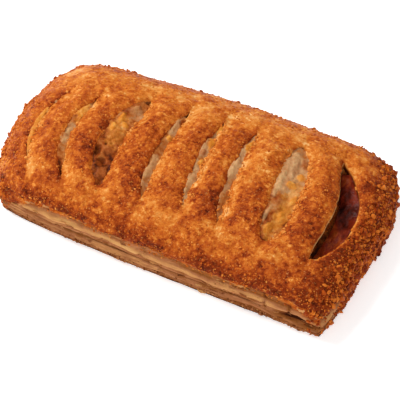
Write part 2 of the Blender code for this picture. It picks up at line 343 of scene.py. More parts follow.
SPOTS = (
    Spot(Stuff.PALE, 2, 0.66, 0.50, (0.0030, 0.0029), 0.0010, 0.3),
    Spot(Stuff.CHEESE, 2, 0.42, 0.30, (0.0016, 0.0034), 0.0010, 0.9),
    Spot(Stuff.CHEESE, 2, 0.30, 0.62, (0.0020, 0.0016), 0.0009, 0.9),
    Spot(Stuff.CHEESE, 2, 0.16, 0.24, (0.0012, 0.0028), 0.0008, 0.9),
    Spot(Stuff.CHEESE, 2, 0.10, 0.50, (0.0040, 0.0100), 0.0002, 0.4),
    Spot(Stuff.MEAT, 2, 0.06, 0.60, (0.0030, 0.0038), 0.0012, 0.8),
    Spot(Stuff.MEAT, 2, -0.28, 0.55, (0.0028, 0.0036), 0.0010),
    Spot(Stuff.MEAT, 2, -0.74, 0.60, (0.0026, 0.0028), 0.0008),
    Spot(Stuff.PIT, 2, -0.36, 0.20, (0.0012, 0.0030), -0.0014, 0.8),
    Spot(Stuff.PIT, 2, -0.52, 0.52, (0.0022, 0.0017), -0.0014, 0.8),
    Spot(Stuff.PIT, 2, 0.95, 0.60, (0.0024, 0.0015), -0.0016, 0.8),
    Spot(Stuff.CHEESE, 0, 0.00, 0.50, (0.0020, 0.0240), 0.0003, 0.8),
    Spot(Stuff.PIT, 1, -0.86, 0.50, (0.0020, 0.0030), -0.0012, 0.8),
    Spot(Stuff.PALE, 1, -0.10, 0.50, (0.0012, 0.0050), 0.0003, 0.6),
    Spot(Stuff.CHEESE, 1, 0.62, 0.50, (0.0020, 0.0075), 0.0006, 0.8),
    Spot(Stuff.PIT, 3, 0.95, 0.50, (0.0020, 0.0030), -0.0020, 0.9),
    Spot(Stuff.CHEESE, 3, 0.28, 0.75, (0.0014, 0.0016), 0.0009),
    Spot(Stuff.PALE, 3, 0.55, 0.45, (0.0013, 0.0050), 0.0004, 0.7),
    Spot(Stuff.PALE, 3, -0.35, 0.40, (0.0014, 0.0080), 0.0004, 0.7),
    Spot(Stuff.PIT, 4, 1.00, 0.50, (0.0016, 0.0016), -0.0016, 0.8),
    Spot(Stuff.CHEESE, 4, 0.80, 0.70, (0.0015, 0.0034), 0.0008),
    Spot(Stuff.CHEESE, 4, 0.42, 0.75, (0.0013, 0.0036), 0.0007),
    Spot(Stuff.MEAT, 4, 0.14, 0.36, (0.0012, 0.0020), 0.0004, 0.7),
    Spot(Stuff.CHEESE, 4, -0.06, 0.75, (0.0011, 0.0022), 0.0006),
    Spot(Stuff.PALE, 4, -0.50, 0.45, (0.0013, 0.0060), 0.0004, 0.7),
    Spot(Stuff.CHEESE, 5, 0.66, 0.60, (0.0014, 0.0044), 0.0005),
    Spot(Stuff.PALE, 5, 0.10, 0.45, (0.0014, 0.0070), 0.0004, 0.7),
    Spot(Stuff.MEAT, 5, -0.40, 0.80, (0.0011, 0.0024), 0.0004),
    Spot(Stuff.MEAT, 5, -0.75, 0.40, (0.0012, 0.0030), 0.0003, 0.5),
    Spot(Stuff.CHEESE, 6, -0.30, 0.72, (0.0034, 0.0190), 0.0002, 0.55),
    Spot(Stuff.PALE, 6, 0.70, 0.36, (0.0026, 0.0034), 0.0009, 0.7),
    Spot(Stuff.MEAT, 6, 0.66, 0.78, (0.0018, 0.0026), 0.0004, 0.6),
    Spot(Stuff.CHEESE, 6, 0.36, 0.74, (0.0024, 0.0022), 0.0010, 0.9),
    Spot(Stuff.CHEESE, 6, 0.12, 0.56, (0.0026, 0.0018), 0.0009, 0.9),
    Spot(Stuff.PALE, 6, 0.08, 0.14, (0.0012, 0.0100), 0.0005, 0.8),
    Spot(Stuff.CHEESE, 6, -0.14, 0.80, (0.0016, 0.0034), 0.0008, 0.9),
    Spot(Stuff.MEAT, 6, -0.26, 0.40, (0.0016, 0.0026), 0.0005, 0.6),
    Spot(Stuff.CHEESE, 6, -0.50, 0.66, (0.0018, 0.0036), 0.0007, 0.9),
    Spot(Stuff.CHEESE, 6, -0.78, 0.40, (0.0022, 0.0030), 0.0004, 0.7),
    Spot(Stuff.PALE, 6, -0.56, 0.14, (0.0009, 0.0050), 0.0004, 0.6),
)


@dataclass(frozen=True)
class Dent:
    """A shallow dent in one side of the outline: its depth, its place and its width."""

    depth: float
    place: float
    width: float


@dataclass(frozen=True)
class PastryShape:
    """Driving sizes of the strudel and the functions that turn u and v into places."""

    length: float = 0.165
    width: float = 0.0844
    height: float = 0.0310
    seam_height: float = 0.0065
    gap: float = 0.0003
    rim: float = 0.0165
    bow_left: float = 0.0099
    bow_right: float = 0.0092
    bow_front: float = 0.0014
    bow_back: float = 0.0025
    taper: float = 0.037
    corner_power: int = 8
    end_dents: tuple[Dent, ...] = (Dent(0.0045, -0.26, 0.56),)
    back_dents: tuple[Dent, ...] = (Dent(0.0016, -0.60, 0.25), Dent(0.0009, 0.72, 0.24))
    left_bulge: float = 0.0008
    dent_power: int = 6
    walk_steps: int = 4000
    crumb_room: float = 0.0004
    shoulder_along: float = 4.5
    shoulder_across: float = 2.4
    shoulder_round: float = 0.6
    rim_drop: float = 0.0050
    rim_drop_width: float = 0.12
    rim_wave: float = 0.0006
    wave: float = 0.0005
    furrow_left: float = 0.0010
    furrow_right: float = 0.0026
    furrow_blend: float = 0.0015
    furrow_reach: float = 0.0045
    lip_drop: float = 0.0008
    lip_reach: float = 0.0011
    lip_opening: float = 0.001
    wave_fine_share: float = 0.6
    corner_pull: dict[tuple[int, int], float] = field(
        default_factory=lambda: {(-1, -1): 0.0016, (-1, 1): 0.0002, (1, 1): 0.0020, (1, -1): -0.0004}
    )

    def shift(self) -> np.ndarray:
        """Offset from the pastry's own axes to the frame's, read from the bottom sheet's box.

        Returns:
            The offset in X, Y and Z.
        """
        low, high = (np.array(corner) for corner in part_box("pastry_base"))
        edge = np.linspace(-1.0, 1.0, self.walk_steps // 10 + 1)
        ones = np.ones_like(edge)
        sides = [(edge, ones), (edge, -ones), (ones, edge), (-ones, edge)]
        x, y = (np.concatenate(c) for c in zip(*(self.outline(u, v) for u, v in sides)))
        middle = np.array([x.min() + x.max(), y.min() + y.max(), 0.0]) / 2
        offset = (low + high) / 2 - middle
        offset[2] = low[2]
        return offset

    def outline(self, u: np.ndarray, v: np.ndarray, grow: float = 0.0) -> Pair:
        """Plan position of (u, v) on a sheet whose edge is moved out by grow.

        Args:
            u: Places along the sheet, from -1 to 1.
            v: Places across the sheet, from -1 to 1.
            grow: How far the edge is moved out, in metres.

        Returns:
            The X and Y places.
        """
        bow = np.where(u < 0, self.bow_left, self.bow_right)
        side_bow = np.where(v < 0, self.bow_front, self.bow_back)
        x = u * (self.length / 2 + grow - bow * v * v)
        y = v * (self.width / 2 * (1 + self.taper * u) + grow - side_bow * u * u)
        pull = np.zeros_like(x)
        for (side_x, side_y), amount in self.corner_pull.items():
            here = (np.sign(u) == side_x) & (np.sign(v) == side_y)
            pull = np.where(here, amount * np.abs(u * v) ** self.corner_power, pull)
        near_right, near_left, near_back = (np.maximum(w, 0.0) ** self.dent_power for w in (u, -u, v))
        x -= sum(dent.depth * bell(v, dent.place, dent.width) for dent in self.end_dents) * near_right
        y -= sum(dent.depth * bell(u, dent.place, dent.width) for dent in self.back_dents) * near_back
        x -= self.left_bulge * near_left
        return x - np.sign(u) * pull, y - np.sign(v) * pull

    def rim_height(self, u: np.ndarray) -> np.ndarray:
        """Height of the crust's lower edge, which drops towards the corners at both ends."""
        left, right = bell(u, -1.0, self.rim_drop_width), bell(u, 1.0, self.rim_drop_width)
        return self.rim - self.rim_drop * (left + right / 2) + self.rim_wave * np.sin(9 * u + 1.0)

    def furrows(self, u: np.ndarray, v: np.ndarray) -> np.ndarray:
        """How far the crust sinks towards the slits, and more on their right side than their left.

        Args:
            u: Places along the sheet, from -1 to 1.
            v: Places across the sheet, from -1 to 1.

        Returns:
            The depth at each place, in metres.
        """
        x, y = u * self.length / 2, v * self.width / 2
        sink = np.zeros_like(x)
        for slit in SLITS:
            aside = x - slit.centre(y)
            away = np.maximum(np.abs(aside) - slit.half_width(y), 0.0)
            here = bell(away, 0.0, self.furrow_reach) * slit.fade(y)
            right = (1 + np.tanh(aside / self.furrow_blend)) / 2
            depth = self.furrow_left + (self.furrow_right - self.furrow_left) * right
            sink = np.maximum(sink, depth * here)
        return sink

    def lip_round(self, u: np.ndarray, v: np.ndarray) -> np.ndarray:
        """How far the crust's edge is rounded off beside the slits.

        Args:
            u: Places along the sheet, from -1 to 1.
            v: Places across the sheet, from -1 to 1.

        Returns:
            The depth at each place, in metres.
        """
        x, y = u * self.length / 2, v * self.width / 2
        sink = np.zeros_like(x)
        for slit in SLITS:
            half = slit.half_width(y)
            away = np.maximum(np.abs(x - slit.centre(y)) - half, 0.0)
            opened = np.minimum(half / self.lip_opening, 1.0)
            sink = np.maximum(sink, bell(away, 0.0, self.lip_reach) * opened)
        return self.lip_drop * sink

    def crust_height(self, u: np.ndarray, v: np.ndarray) -> np.ndarray:
        """Height of the top sheet's outer face, without its fine relief.

        Args:
            u: Places along the sheet, from -1 to 1.
            v: Places across the sheet, from -1 to 1.

        Returns:
            The height of each place, in metres.
        """
        across = np.clip(1 - np.abs(v) ** self.shoulder_across, 0.0, 1.0) ** self.shoulder_round
        along = np.clip(1 - np.abs(u) ** self.shoulder_along, 0.0, 1.0) ** self.shoulder_round
        rise = across * along
        broad = np.sin(5.1 * u + 1.3 * v + 0.4) * np.cos(3.7 * v - 2.2 * u)
        fine = np.sin(13.0 * u - 7.0 * v) * np.cos(11.0 * v + 6.0 * u + 1.0)
        uneven = self.wave * (broad + self.wave_fine_share * fine) - self.furrows(u, v)
        rim = self.rim_height(u)
        return rim + (self.height - rim) * rise + uneven * np.sqrt(rise)

    def across_strip(self, u: np.ndarray, v: np.ndarray) -> Pair:
        """Where a place lies on its strip between two slits.

        Args:
            u: Places along the sheet, from -1 to 1.
            v: Places across the sheet, from -1 to 1.

        Returns:
            0 at the slit on the left to 1 at the slit on the right, and 1 beside the slits,
            falling to 0 past their ends.
        """
        x, y = u * self.length / 2, v * self.width / 2
        ends = [np.full_like(x, -self.length / 2), np.full_like(x, self.length / 2)]
        middles = np.stack([ends[0], *(slit.centre(y) for slit in SLITS), ends[1]])
        strip = np.clip((middles <= x).sum(axis=0) - 1, 0, len(SLITS))
        left, right = (middles[strip + step, np.arange(len(x))] for step in (0, 1))
        fades = np.stack([slit.fade(y) for slit in (SLITS[0], *SLITS, SLITS[-1])])
        beside = np.minimum(fades[strip, np.arange(len(x))], fades[strip + 1, np.arange(len(x))])
        return (x - left) / np.maximum(right - left, TINY), beside

    def golden(self, u: np.ndarray, v: np.ndarray, beyond: float, width: float) -> np.ndarray:
        """How golden a place is for lying near a crumbed right lip.

        Args:
            u: Places along the sheet, from -1 to 1.
            v: Places across the sheet, from -1 to 1.
            beyond: How far right of the lip the middle of the golden line runs.
            width: Half the line's width.

        Returns:
            From 0 to 1 for each place.
        """
        x, y = u * self.length / 2, v * self.width / 2
        amount = np.zeros_like(x)
        for slit in SLITS:
            open_here = np.abs(slit.along(y)) < 0.96
            amount += slit.crumbed * open_here * bell(x - slit.lips(y)[1], beyond, width)
        return np.minimum(amount, 1.0)

    def crust_points(self, u: np.ndarray, v: np.ndarray) -> np.ndarray:
        """Places on the top sheet's outer face, one row each."""
        x, y = self.outline(u, v, -self.crumb_room)
        return np.column_stack([x, y, self.crust_height(u, v)]) + self.shift()

    def perimeter(self, count: int) -> Pair:
        """Walks once round the outline in equal steps.

        Args:
            count: How many steps to take.

        Returns:
            The u and v of each step, the first and last at the front left corner.
        """
        walk = np.linspace(0.0, 4.0, self.walk_steps + 1)
        u, v = self.on_square(walk)
        x, y = self.outline(u, v)
        run = np.concatenate([[0.0], np.cumsum(np.hypot(np.diff(x), np.diff(y)))])
        even = np.interp(np.linspace(0.0, run[-1], count + 1), run, walk)
        return self.on_square(even)

    @staticmethod
    def on_square(walk: np.ndarray) -> Pair:
        """Turns a walk of 0 to 4 round the unit square into u and v.

        Args:
            walk: How far round each place is.

        Returns:
            The u and v of each.
        """
        side, part = np.floor(walk).astype(int) % 4, walk - np.floor(walk)
        run, one = 2 * part - 1, np.ones_like(part)
        u = np.choose(side, [run, one, -run, -one])
        v = np.choose(side, [-one, run, one, -run])
        return u, v


SHAPE = PastryShape()


# ---------------------------------------------------------------- mesh helpers


def new_grid(columns: int, rows: int, layers: Sequence[str]) -> bmesh.types.BMesh:
    """A grid over the square from -1 to 1, with float layers on its vertices.

    Args:
        columns: Cells along X.
        rows: Cells along Y.
        layers: Names of the float layers.

    Returns:
        The bmesh.
    """
    bm = bmesh.new()
    bmesh.ops.create_grid(bm, x_segments=columns, y_segments=rows, size=1.0)
    for name in layers:
        bm.verts.layers.float.new(name)
    return bm


def read(mesh: bpy.types.Mesh, name: str) -> np.ndarray:
    """A float attribute of a mesh's vertices as an array.

    Args:
        mesh: The mesh.
        name: The attribute.

    Returns:
        One number for each vertex.
    """
    values = np.zeros(len(mesh.vertices), dtype=np.float32)
    mesh.attributes[name].data.foreach_get("value", values)
    return values.astype(float)


def write(mesh: bpy.types.Mesh, name: str, values: np.ndarray) -> None:
    """Stores one number for each vertex as a float attribute that materials can read.

    Args:
        mesh: The mesh.
        name: The attribute.
        values: One number for each vertex.
    """
    if name not in mesh.attributes:
        mesh.attributes.new(name, "FLOAT", "POINT")
    mesh.attributes[name].data.foreach_set("value", np.asarray(values, dtype=np.float32))


def drop(mesh: bpy.types.Mesh, *names: str) -> None:
    """Removes attributes that were only needed while modelling."""
    for name in names:
        mesh.attributes.remove(mesh.attributes[name])


def places(mesh: bpy.types.Mesh) -> np.ndarray:
    """All vertex places of a mesh, one row each.

    Args:
        mesh: The mesh.

    Returns:
        X, Y and Z of each vertex, in metres.
    """
    flat = np.zeros(len(mesh.vertices) * 3, dtype=np.float32)
    mesh.vertices.foreach_get("co", flat)
    return flat.reshape(-1, 3).astype(float)


def set_places(mesh: bpy.types.Mesh, points: np.ndarray) -> None:
    """Moves every vertex of a mesh to its own row of points."""
    mesh.vertices.foreach_set("co", np.asarray(points, dtype=np.float32).ravel())
    mesh.update()


def normals(mesh: bpy.types.Mesh) -> np.ndarray:
    """All vertex normals of a mesh, one row each.

    Args:
        mesh: The mesh.

    Returns:
        A unit vector for each vertex.
    """
    flat = np.zeros(len(mesh.vertices) * 3, dtype=np.float32)
    mesh.vertex_normals.foreach_get("vector", flat)
    return flat.reshape(-1, 3).astype(float)


def to_mesh(bm: bmesh.types.BMesh, name: str) -> bpy.types.Mesh:
    """Turns a bmesh into a smooth-shaded mesh and frees it.

    Args:
        bm: The bmesh, which is gone afterwards.
        name: The mesh's name.

    Returns:
        The mesh.
    """
    mesh = bpy.data.meshes.new(name)
    bm.to_mesh(mesh)
    bm.free()
    mesh.shade_smooth()
    return mesh


def finish_piece(
    mesh: bpy.types.Mesh, material: bpy.types.Material, node: str
) -> bpy.types.Object:
    """Makes a mesh a piece of the strudel.

    Args:
        mesh: The finished mesh, already in its place.
        material: Its material.
        node: The solid it stands for.

    Returns:
        The new object.
    """
    mesh.materials.append(material)
    piece = bpy.data.objects.new(mesh.name, mesh)
    bpy.context.scene.collection.objects.link(piece)
    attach(piece, "root")
    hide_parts(node)
    LOG.info("%s: %d vertices, %d faces", piece.name, len(mesh.vertices), len(mesh.polygons))
    return piece


def boundary_edges(
    bm: bmesh.types.BMesh, keep: Callable[[bmesh.types.BMEdge], bool]
) -> list[bmesh.types.BMEdge]:
    """Boundary edges of a bmesh that a test keeps."""
    return [edge for edge in bm.edges if edge.is_boundary and keep(edge)]


def slab(columns: int, rows: int) -> bmesh.types.BMesh:
    """A grid extruded into a closed slab, whose underside is marked in the layer side.

    Args:
        columns: Cells along X.
        rows: Cells along Y.

    Returns:
        The bmesh, with its faces not yet turned outwards.
    """
    bm = new_grid(columns, rows, ("side",))
    made = bmesh.ops.extrude_face_region(bm, geom=bm.faces[:])["geom"]
    side = bm.verts.layers.float["side"]
    for item in made:
        if isinstance(item, bmesh.types.BMVert):
            item[side] = 1.0
            item.co.z = -1.0
    return bm


def drop_rings(
    bm: bmesh.types.BMesh, edges: list[bmesh.types.BMEdge], rings: int, layer: str
) -> list[bmesh.types.BMEdge]:
    """Extrudes boundary edges into a wall of rings and numbers the rings in a layer.

    Args:
        bm: The bmesh.
        edges: The boundary edges to extrude.
        rings: How many rings the wall has.
        layer: Float layer that gets each ring's share of the way, up to 1.

    Returns:
        The last ring's edges.
    """
    share = bm.verts.layers.float[layer]
    for ring in range(rings):
        made = bmesh.ops.extrude_edge_only(bm, edges=edges)["geom"]
        for item in made:
            if isinstance(item, bmesh.types.BMVert):
                item[share] = (ring + 1) / rings
        edges = [item for item in made if isinstance(item, bmesh.types.BMEdge) and item.is_boundary]
    return edges


# ---------------------------------------------------------------- finishes


def linear(code: str) -> Colour:
    """Turns a colour written as six hexadecimal digits into linear red, green and blue."""
    parts = [int(code[i : i + 2], 16) / 255 for i in (0, 2, 4)]
    return tuple(p / 12.92 if p <= 0.04045 else ((p + 0.055) / 1.055) ** 2.4 for p in parts)


class Bench:
    """Builds the nodes of one material."""

    def __init__(self, name: str) -> None:
        """Starts a material with a Principled shader.

        Args:
            name: The material's name.
        """
        self.material = bpy.data.materials.new(name)
        self.material.use_nodes = True
        self.tree = self.material.node_tree
        self.shader = self.tree.nodes["Principled BSDF"]
        self.place = self.add("ShaderNodeTexCoord").outputs["Object"]

    def add(self, kind: str, **settings: object) -> bpy.types.Node:
        """Adds a node and sets its properties.

        Args:
            kind: The node's type.
            settings: Its properties.

        Returns:
            The node.
        """
        node = self.tree.nodes.new(kind)
        for name, value in settings.items():
            setattr(node, name, value)
        return node

    def feed(self, socket: bpy.types.NodeSocket, value: object) -> None:
        """Links a value to a socket, or sets the socket to it where it is a plain number or colour.

        Args:
            socket: The input.
            value: An output, a number or a colour.
        """
        if isinstance(value, bpy.types.NodeSocket):
            self.tree.links.new(value, socket)
        elif isinstance(value, tuple):
            socket.default_value = (*value, 1.0)
        else:
            socket.default_value = value

    def attribute(self, name: str) -> bpy.types.NodeSocket:
        """A number stored on the mesh."""
        return self.add("ShaderNodeAttribute", attribute_name=name).outputs["Fac"]

    def stretched(self, scale: tuple[float, float, float]) -> bpy.types.NodeSocket:
        """Object coordinates scaled differently along each axis.

        Args:
            scale: The factor along each axis.

        Returns:
            The coordinates.
        """
        node = self.add("ShaderNodeMapping")
        self.feed(node.inputs["Vector"], self.place)
        node.inputs["Scale"].default_value = scale
        return node.outputs["Vector"]

    def noise(
        self, size: float, detail: float = 3.0, place: bpy.types.NodeSocket | None = None
    ) -> bpy.types.NodeSocket:
        """Noise with bumps of about the given size in metres, from 0 to 1.

        Args:
            size: Width of one bump.
            detail: How many finer layers are added.
            place: Coordinates, if not the object's own.

        Returns:
            The noise.
        """
        node = self.add("ShaderNodeTexNoise")
        self.feed(node.inputs["Vector"], place or self.place)
        node.inputs["Scale"].default_value = 1.0 / size
        node.inputs["Detail"].default_value = detail
        node.inputs["Roughness"].default_value = 0.6
        return node.outputs["Fac"]

    def cell_tones(self, size: float) -> bpy.types.NodeSocket:
        """One random tone for each Voronoi cell of about the given size in metres.

        Args:
            size: Width of one cell.

        Returns:
            The tone.
        """
        node = self.add("ShaderNodeTexVoronoi")
        self.feed(node.inputs["Vector"], self.place)
        node.inputs["Scale"].default_value = 1.0 / size
        return node.outputs["Color"]

    def math(self, step: Step, *values: object) -> bpy.types.NodeSocket:
        """One step of arithmetic on sockets or numbers.

        Args:
            step: What is done.
            values: What it is done to.

        Returns:
            The result.
        """
        node = self.add("ShaderNodeMath", operation=step.value)
        for socket, value in zip(node.inputs, values):
            self.feed(socket, value)
        return node.outputs[0]

    def weighted(self, start: object, *terms: tuple[object, float]) -> bpy.types.NodeSocket:
        """Adds to a start each term's distance from one half, times its weight, within 0 and 1.

        Args:
            start: What the terms are added to.
            terms: A value and a weight each.

        Returns:
            The sum.
        """
        total = start
        for value, weight in terms:
            centred = self.math(Step.SUBTRACT, value, 0.5)
            total = self.math(Step.MULTIPLY_ADD, centred, weight, total)
        return self.math(Step.MAXIMUM, self.math(Step.MINIMUM, total, 1.0), 0.0)

    def spread(self, value: object, low: float, high: float) -> bpy.types.NodeSocket:
        """Maps low..high of a value to 0..1, clamped.

        Args:
            value: The value.
            low: What becomes 0.
            high: What becomes 1.

        Returns:
            The mapped value.
        """
        node = self.add("ShaderNodeMapRange", clamp=True)
        self.feed(node.inputs["Value"], value)
        node.inputs["From Min"].default_value = low
        node.inputs["From Max"].default_value = high
        return node.outputs["Result"]

    def ramp(self, value: object, stops: Stops) -> bpy.types.NodeSocket:
        """Colours along a ramp, each stop a place and a colour code.

        Args:
            value: Place on the ramp, 0 to 1.
            stops: The ramp.

        Returns:
            The colour.
        """
        node = self.add("ShaderNodeValToRGB")
        self.feed(node.inputs["Fac"], value)
        elements = node.color_ramp.elements
        while len(elements) < len(stops):
            elements.new(0.5)
        for element, (place, code) in zip(elements, stops):
            element.position = place
            element.color = (*linear(code), 1.0)
        return node.outputs["Color"]

    def mix(
        self, share: object, first: object, second: object, blend: Blend = Blend.MIX
    ) -> bpy.types.NodeSocket:
        """Blends two colours by a share.

        Args:
            share: How much of the second shows.
            first: The colour underneath.
            second: The colour over it.
            blend: How they are blended.

        Returns:
            The blended colour.
        """
        node = self.add("ShaderNodeMix", data_type="RGBA", blend_type=blend.value)
        self.feed(node.inputs[0], share)
        self.feed(node.inputs[6], first)
        self.feed(node.inputs[7], second)
        return node.outputs[2]

    def bump(
        self, height: object, depth: float, strength: float = 1.0, under: bpy.types.NodeSocket | None = None
    ) -> bpy.types.NodeSocket:
        """A bumped normal from a height field whose full swing is depth metres.

        Args:
            height: The height field.
            depth: Its full swing.
            strength: How much of it shows.
            under: A bumped normal that it lies on.

        Returns:
            The normal.
        """
        node = self.add("ShaderNodeBump")
        node.inputs["Strength"].default_value = strength
        node.inputs["Distance"].default_value = depth
        self.feed(node.inputs["Height"], height)
        if under:
            self.feed(node.inputs["Normal"], under)
        return node.outputs["Normal"]

    def done(self, **inputs: object) -> bpy.types.Material:
        """Feeds the Principled shader's inputs, with underscores for spaces, and returns the material.

        Args:
            inputs: What each input is fed.

        Returns:
            The material.
        """
        for name, value in inputs.items():
            self.feed(self.shader.inputs[name.replace("_", " ")], value)
        return self.material


@dataclass(frozen=True)
class Chip:
    """Sharp spots of the crust: their size, the noise they rise between, their shift of browning."""

    size: float
    limits: tuple[float, float]
    shift: float


@dataclass(frozen=True)
class BakedCrust:
    """Browned crust under fine gratinated crumb, pale gold through orange to dark red-brown, with painted
    glints and painted shade between its grains.
    """

    stops: Stops = (
        (0.0, "ECB26E"),
        (0.18, "E09446"),
        (0.4, "CF7326"),
        (0.6, "B25217"),
        (0.8, "89320C"),
        (1.0, "521905"),
    )
    dough: Stops = ((0.0, "F2C684"), (0.35, "D88C40"), (0.65, "A4521A"), (1.0, "4A1806"))
    painted_glint_colour: str = "EFA860"
    hollow_shade_colour: str = "5A1E0A"
    grain: float = 0.0011
    fleck: float = 0.0024
    streak: float = 0.0032
    blot: float = 0.006
    painted_glint_size: float = 0.0008
    chips: tuple[Chip, ...] = (Chip(0.0021, (0.59, 0.65), -0.24), Chip(0.0026, (0.60, 0.65), 0.12))

    def colour(self, bench: Bench, browning: object) -> bpy.types.NodeSocket:
        """The crust's colour for a browning of 0 to 1, with grain, flecks and small painted glints.

        Args:
            bench: The bench to build on.
            browning: The browning.

        Returns:
            The colour.
        """
        tone = bench.cell_tones(self.grain)
        fleck = bench.noise(self.fleck, 4.0)
        fine = bench.noise(self.grain * 0.6, 2.0)
        streaks = bench.noise(self.streak, 4.0, bench.stretched((0.35, 1.0, 1.0)))
        blots = bench.noise(self.blot)
        value = bench.weighted(
            browning, (tone, 0.18), (fleck, 0.42), (fine, 0.3), (streaks, 0.36), (blots, 0.26)
        )
        for chip in self.chips:
            spots = bench.noise(chip.size, 3.0, bench.stretched((0.7, 1.0, 1.0)))
            value = bench.math(Step.MULTIPLY_ADD, bench.spread(spots, *chip.limits), chip.shift, value)
        # Small pale specks mixed into the colour are painted glints, highlights of the glossy crust.
        painted_glints = bench.spread(bench.noise(self.painted_glint_size, 1.0), 0.62, 0.78)
        share = bench.math(Step.MULTIPLY, painted_glints, 0.45)
        return bench.mix(share, bench.ramp(value, self.stops), linear(self.painted_glint_colour))

    def relief(self, bench: Bench) -> bpy.types.NodeSocket:
        """Fine bumps of the crumb."""
        fine = bench.noise(self.grain * 0.5, 4.0)
        return bench.bump(fine, 0.00045, 0.9)

    def material(self) -> bpy.types.Material:
        """The crust's material, with pale dough where the crust is cut and painted shade in the low places
        between its grains.

        Returns:
            The material.
        """
        bench = Bench("baked_crust")
        crust = self.colour(bench, bench.attribute("browning"))
        # Painted shade: the crust is darkened where it lies low between grains and knobs.
        hollow = bench.math(Step.MULTIPLY, bench.math(Step.SUBTRACT, 1.0, bench.attribute("proud")), 0.35)
        crust = bench.mix(hollow, crust, linear(self.hollow_shade_colour), Blend.MULTIPLY)
        dough_value = bench.weighted(bench.attribute("cut_tone"), (bench.noise(0.0018), 0.5))
        colour = bench.mix(bench.attribute("cut"), crust, bench.ramp(dough_value, self.dough))
        rough = bench.math(Step.MULTIPLY_ADD, bench.noise(0.0025, 4.0), 0.6, 0.08)
        return bench.done(
            Base_Color=colour,
            Roughness=rough,
            Normal=self.relief(bench),
            Specular_IOR_Level=0.04,
        )


@dataclass(frozen=True)
class PuffLayers:
    """The open edge of the sheets: tan to brown layers with dark gaps, and crust at the ends."""

    stops: Stops = (
        (0.0, "DCA866"),
        (0.25, "C88C54"),
        (0.45, "AC6E46"),
        (0.62, "905426"),
        (0.8, "6A3214"),
        (1.0, "3E1808"),
    )
    crust: BakedCrust = BakedCrust()

    def material(self) -> bpy.types.Material:
        """The layered edge's material.

        Returns:
            The material.
        """
        bench = Bench("puff_layers")
        streaks = bench.noise(0.0007, 3.0, bench.stretched((0.12, 0.12, 1.0)))
        blots = bench.noise(0.006, 3.0)
        value = bench.weighted(bench.attribute("browning"), (streaks, 0.3), (blots, 0.4))
        layers = bench.ramp(value, self.stops)
        crust = self.crust.colour(bench, bench.attribute("crust_browning"))
        colour = bench.mix(bench.attribute("crusted"), layers, crust)
        return bench.done(
            Base_Color=colour,
            Roughness=bench.math(Step.MULTIPLY_ADD, blots, 0.25, 0.45),
            Normal=bench.bump(streaks, 0.0003, 0.7, self.crust.relief(bench)),
            Specular_IOR_Level=0.03,
        )


@dataclass(frozen=True)
class CrumbToast:
    """Single crumbs, each of one tone."""

    stops: Stops = BakedCrust().stops

    def material(self) -> bpy.types.Material:
        """The crumbs' material.

        Returns:
            The material.
        """
        bench = Bench("toasted_crumb")
        value = bench.weighted(bench.attribute("browning"), (bench.noise(0.0012), 0.4))
        return bench.done(
            Base_Color=bench.ramp(value, self.stops),
            Roughness=bench.math(Step.MULTIPLY_ADD, bench.noise(0.002), 0.3, 0.35),
            Normal=bench.bump(bench.noise(0.0005), 0.0002, 0.6),
            Specular_IOR_Level=0.05,
        )


@dataclass(frozen=True)
class CreamSauce:
    """Moist sauce from pale beige to brown, with cheese, meat and dark pits in patches, the pits partly
    dark baked filling and partly painted shade.
    """

    sauce: Stops = (
        (0.0, "DEB27C"),
        (0.25, "C29264"),
        (0.45, "B07C50"),
        (0.62, "AC662E"),
        (0.8, "8E4010"),
        (1.0, "461806"),
    )
    cheese: Stops = ((0.0, "ECB058"), (0.45, "D4842A"), (1.0, "A05016"))
    meat: Stops = ((0.0, "CA7E44"), (0.45, "9C5020"), (1.0, "561E06"))
    pale: Stops = ((0.0, "DCB07A"), (0.5, "BE9060"), (1.0, "94643A"))
    pit_tone_and_shade_colour: str = "5C2406"

    def material(self) -> bpy.types.Material:
        """The filling's material.

        Returns:
            The material.
        """
        bench = Bench("cream_sauce")
        mottle = bench.noise(0.0024, 4.0)
        colour = bench.ramp(bench.weighted(bench.attribute("baked"), (mottle, 0.9)), self.sauce)
        mixed = bench.weighted(0.45, (mottle, 1.3))
        bits = {Stuff.PALE: self.pale, Stuff.MEAT: self.meat, Stuff.CHEESE: self.cheese}
        for stuff, stops in bits.items():
            colour = bench.mix(bench.attribute(stuff.value), colour, bench.ramp(mixed, stops))
        # Sunk patches darkened, partly as dark baked filling, partly as painted shade in hollows and slit
        # ends.
        pit_tone_and_shade = bench.math(Step.MULTIPLY, bench.attribute(Stuff.PIT.value), 0.8)
        colour = bench.mix(pit_tone_and_shade, colour, linear(self.pit_tone_and_shade_colour))
        return bench.done(
            Base_Color=colour,
            Roughness=bench.math(Step.MULTIPLY_ADD, bench.noise(0.0015), 0.3, 0.26),
            Normal=bench.bump(bench.noise(0.0011, 3.0), 0.0005, 0.8),
            Specular_IOR_Level=0.06,
            Subsurface_Weight=0.1,
            Subsurface_Scale=0.001,
        )


@dataclass(frozen=True)
class CookedHam:
    """Dark wet meat with paler threads."""

    stops: Stops = (
        (0.0, "BE6A2C"),
        (0.25, "9C4418"),
        (0.5, "74220F"),
        (0.75, "4A1408"),
        (1.0, "240603"),
    )

    def material(self) -> bpy.types.Material:
        """The ham's material.

        Returns:
            The material.
        """
        bench = Bench("cooked_ham_meat")
        threads = bench.noise(0.0016, 4.0, bench.stretched((1.0, 0.35, 1.0)))
        value = bench.weighted(bench.attribute("baked"), (threads, 0.8), (bench.noise(0.006), 0.6))
        return bench.done(
            Base_Color=bench.ramp(value, self.stops),
            Roughness=bench.math(Step.MULTIPLY_ADD, bench.noise(0.002), 0.25, 0.2),
            Normal=bench.bump(bench.noise(0.0009, 3.0), 0.0003, 0.7),
            Specular_IOR_Level=0.09,
        )


# ---------------------------------------------------------------- sub-assemblies


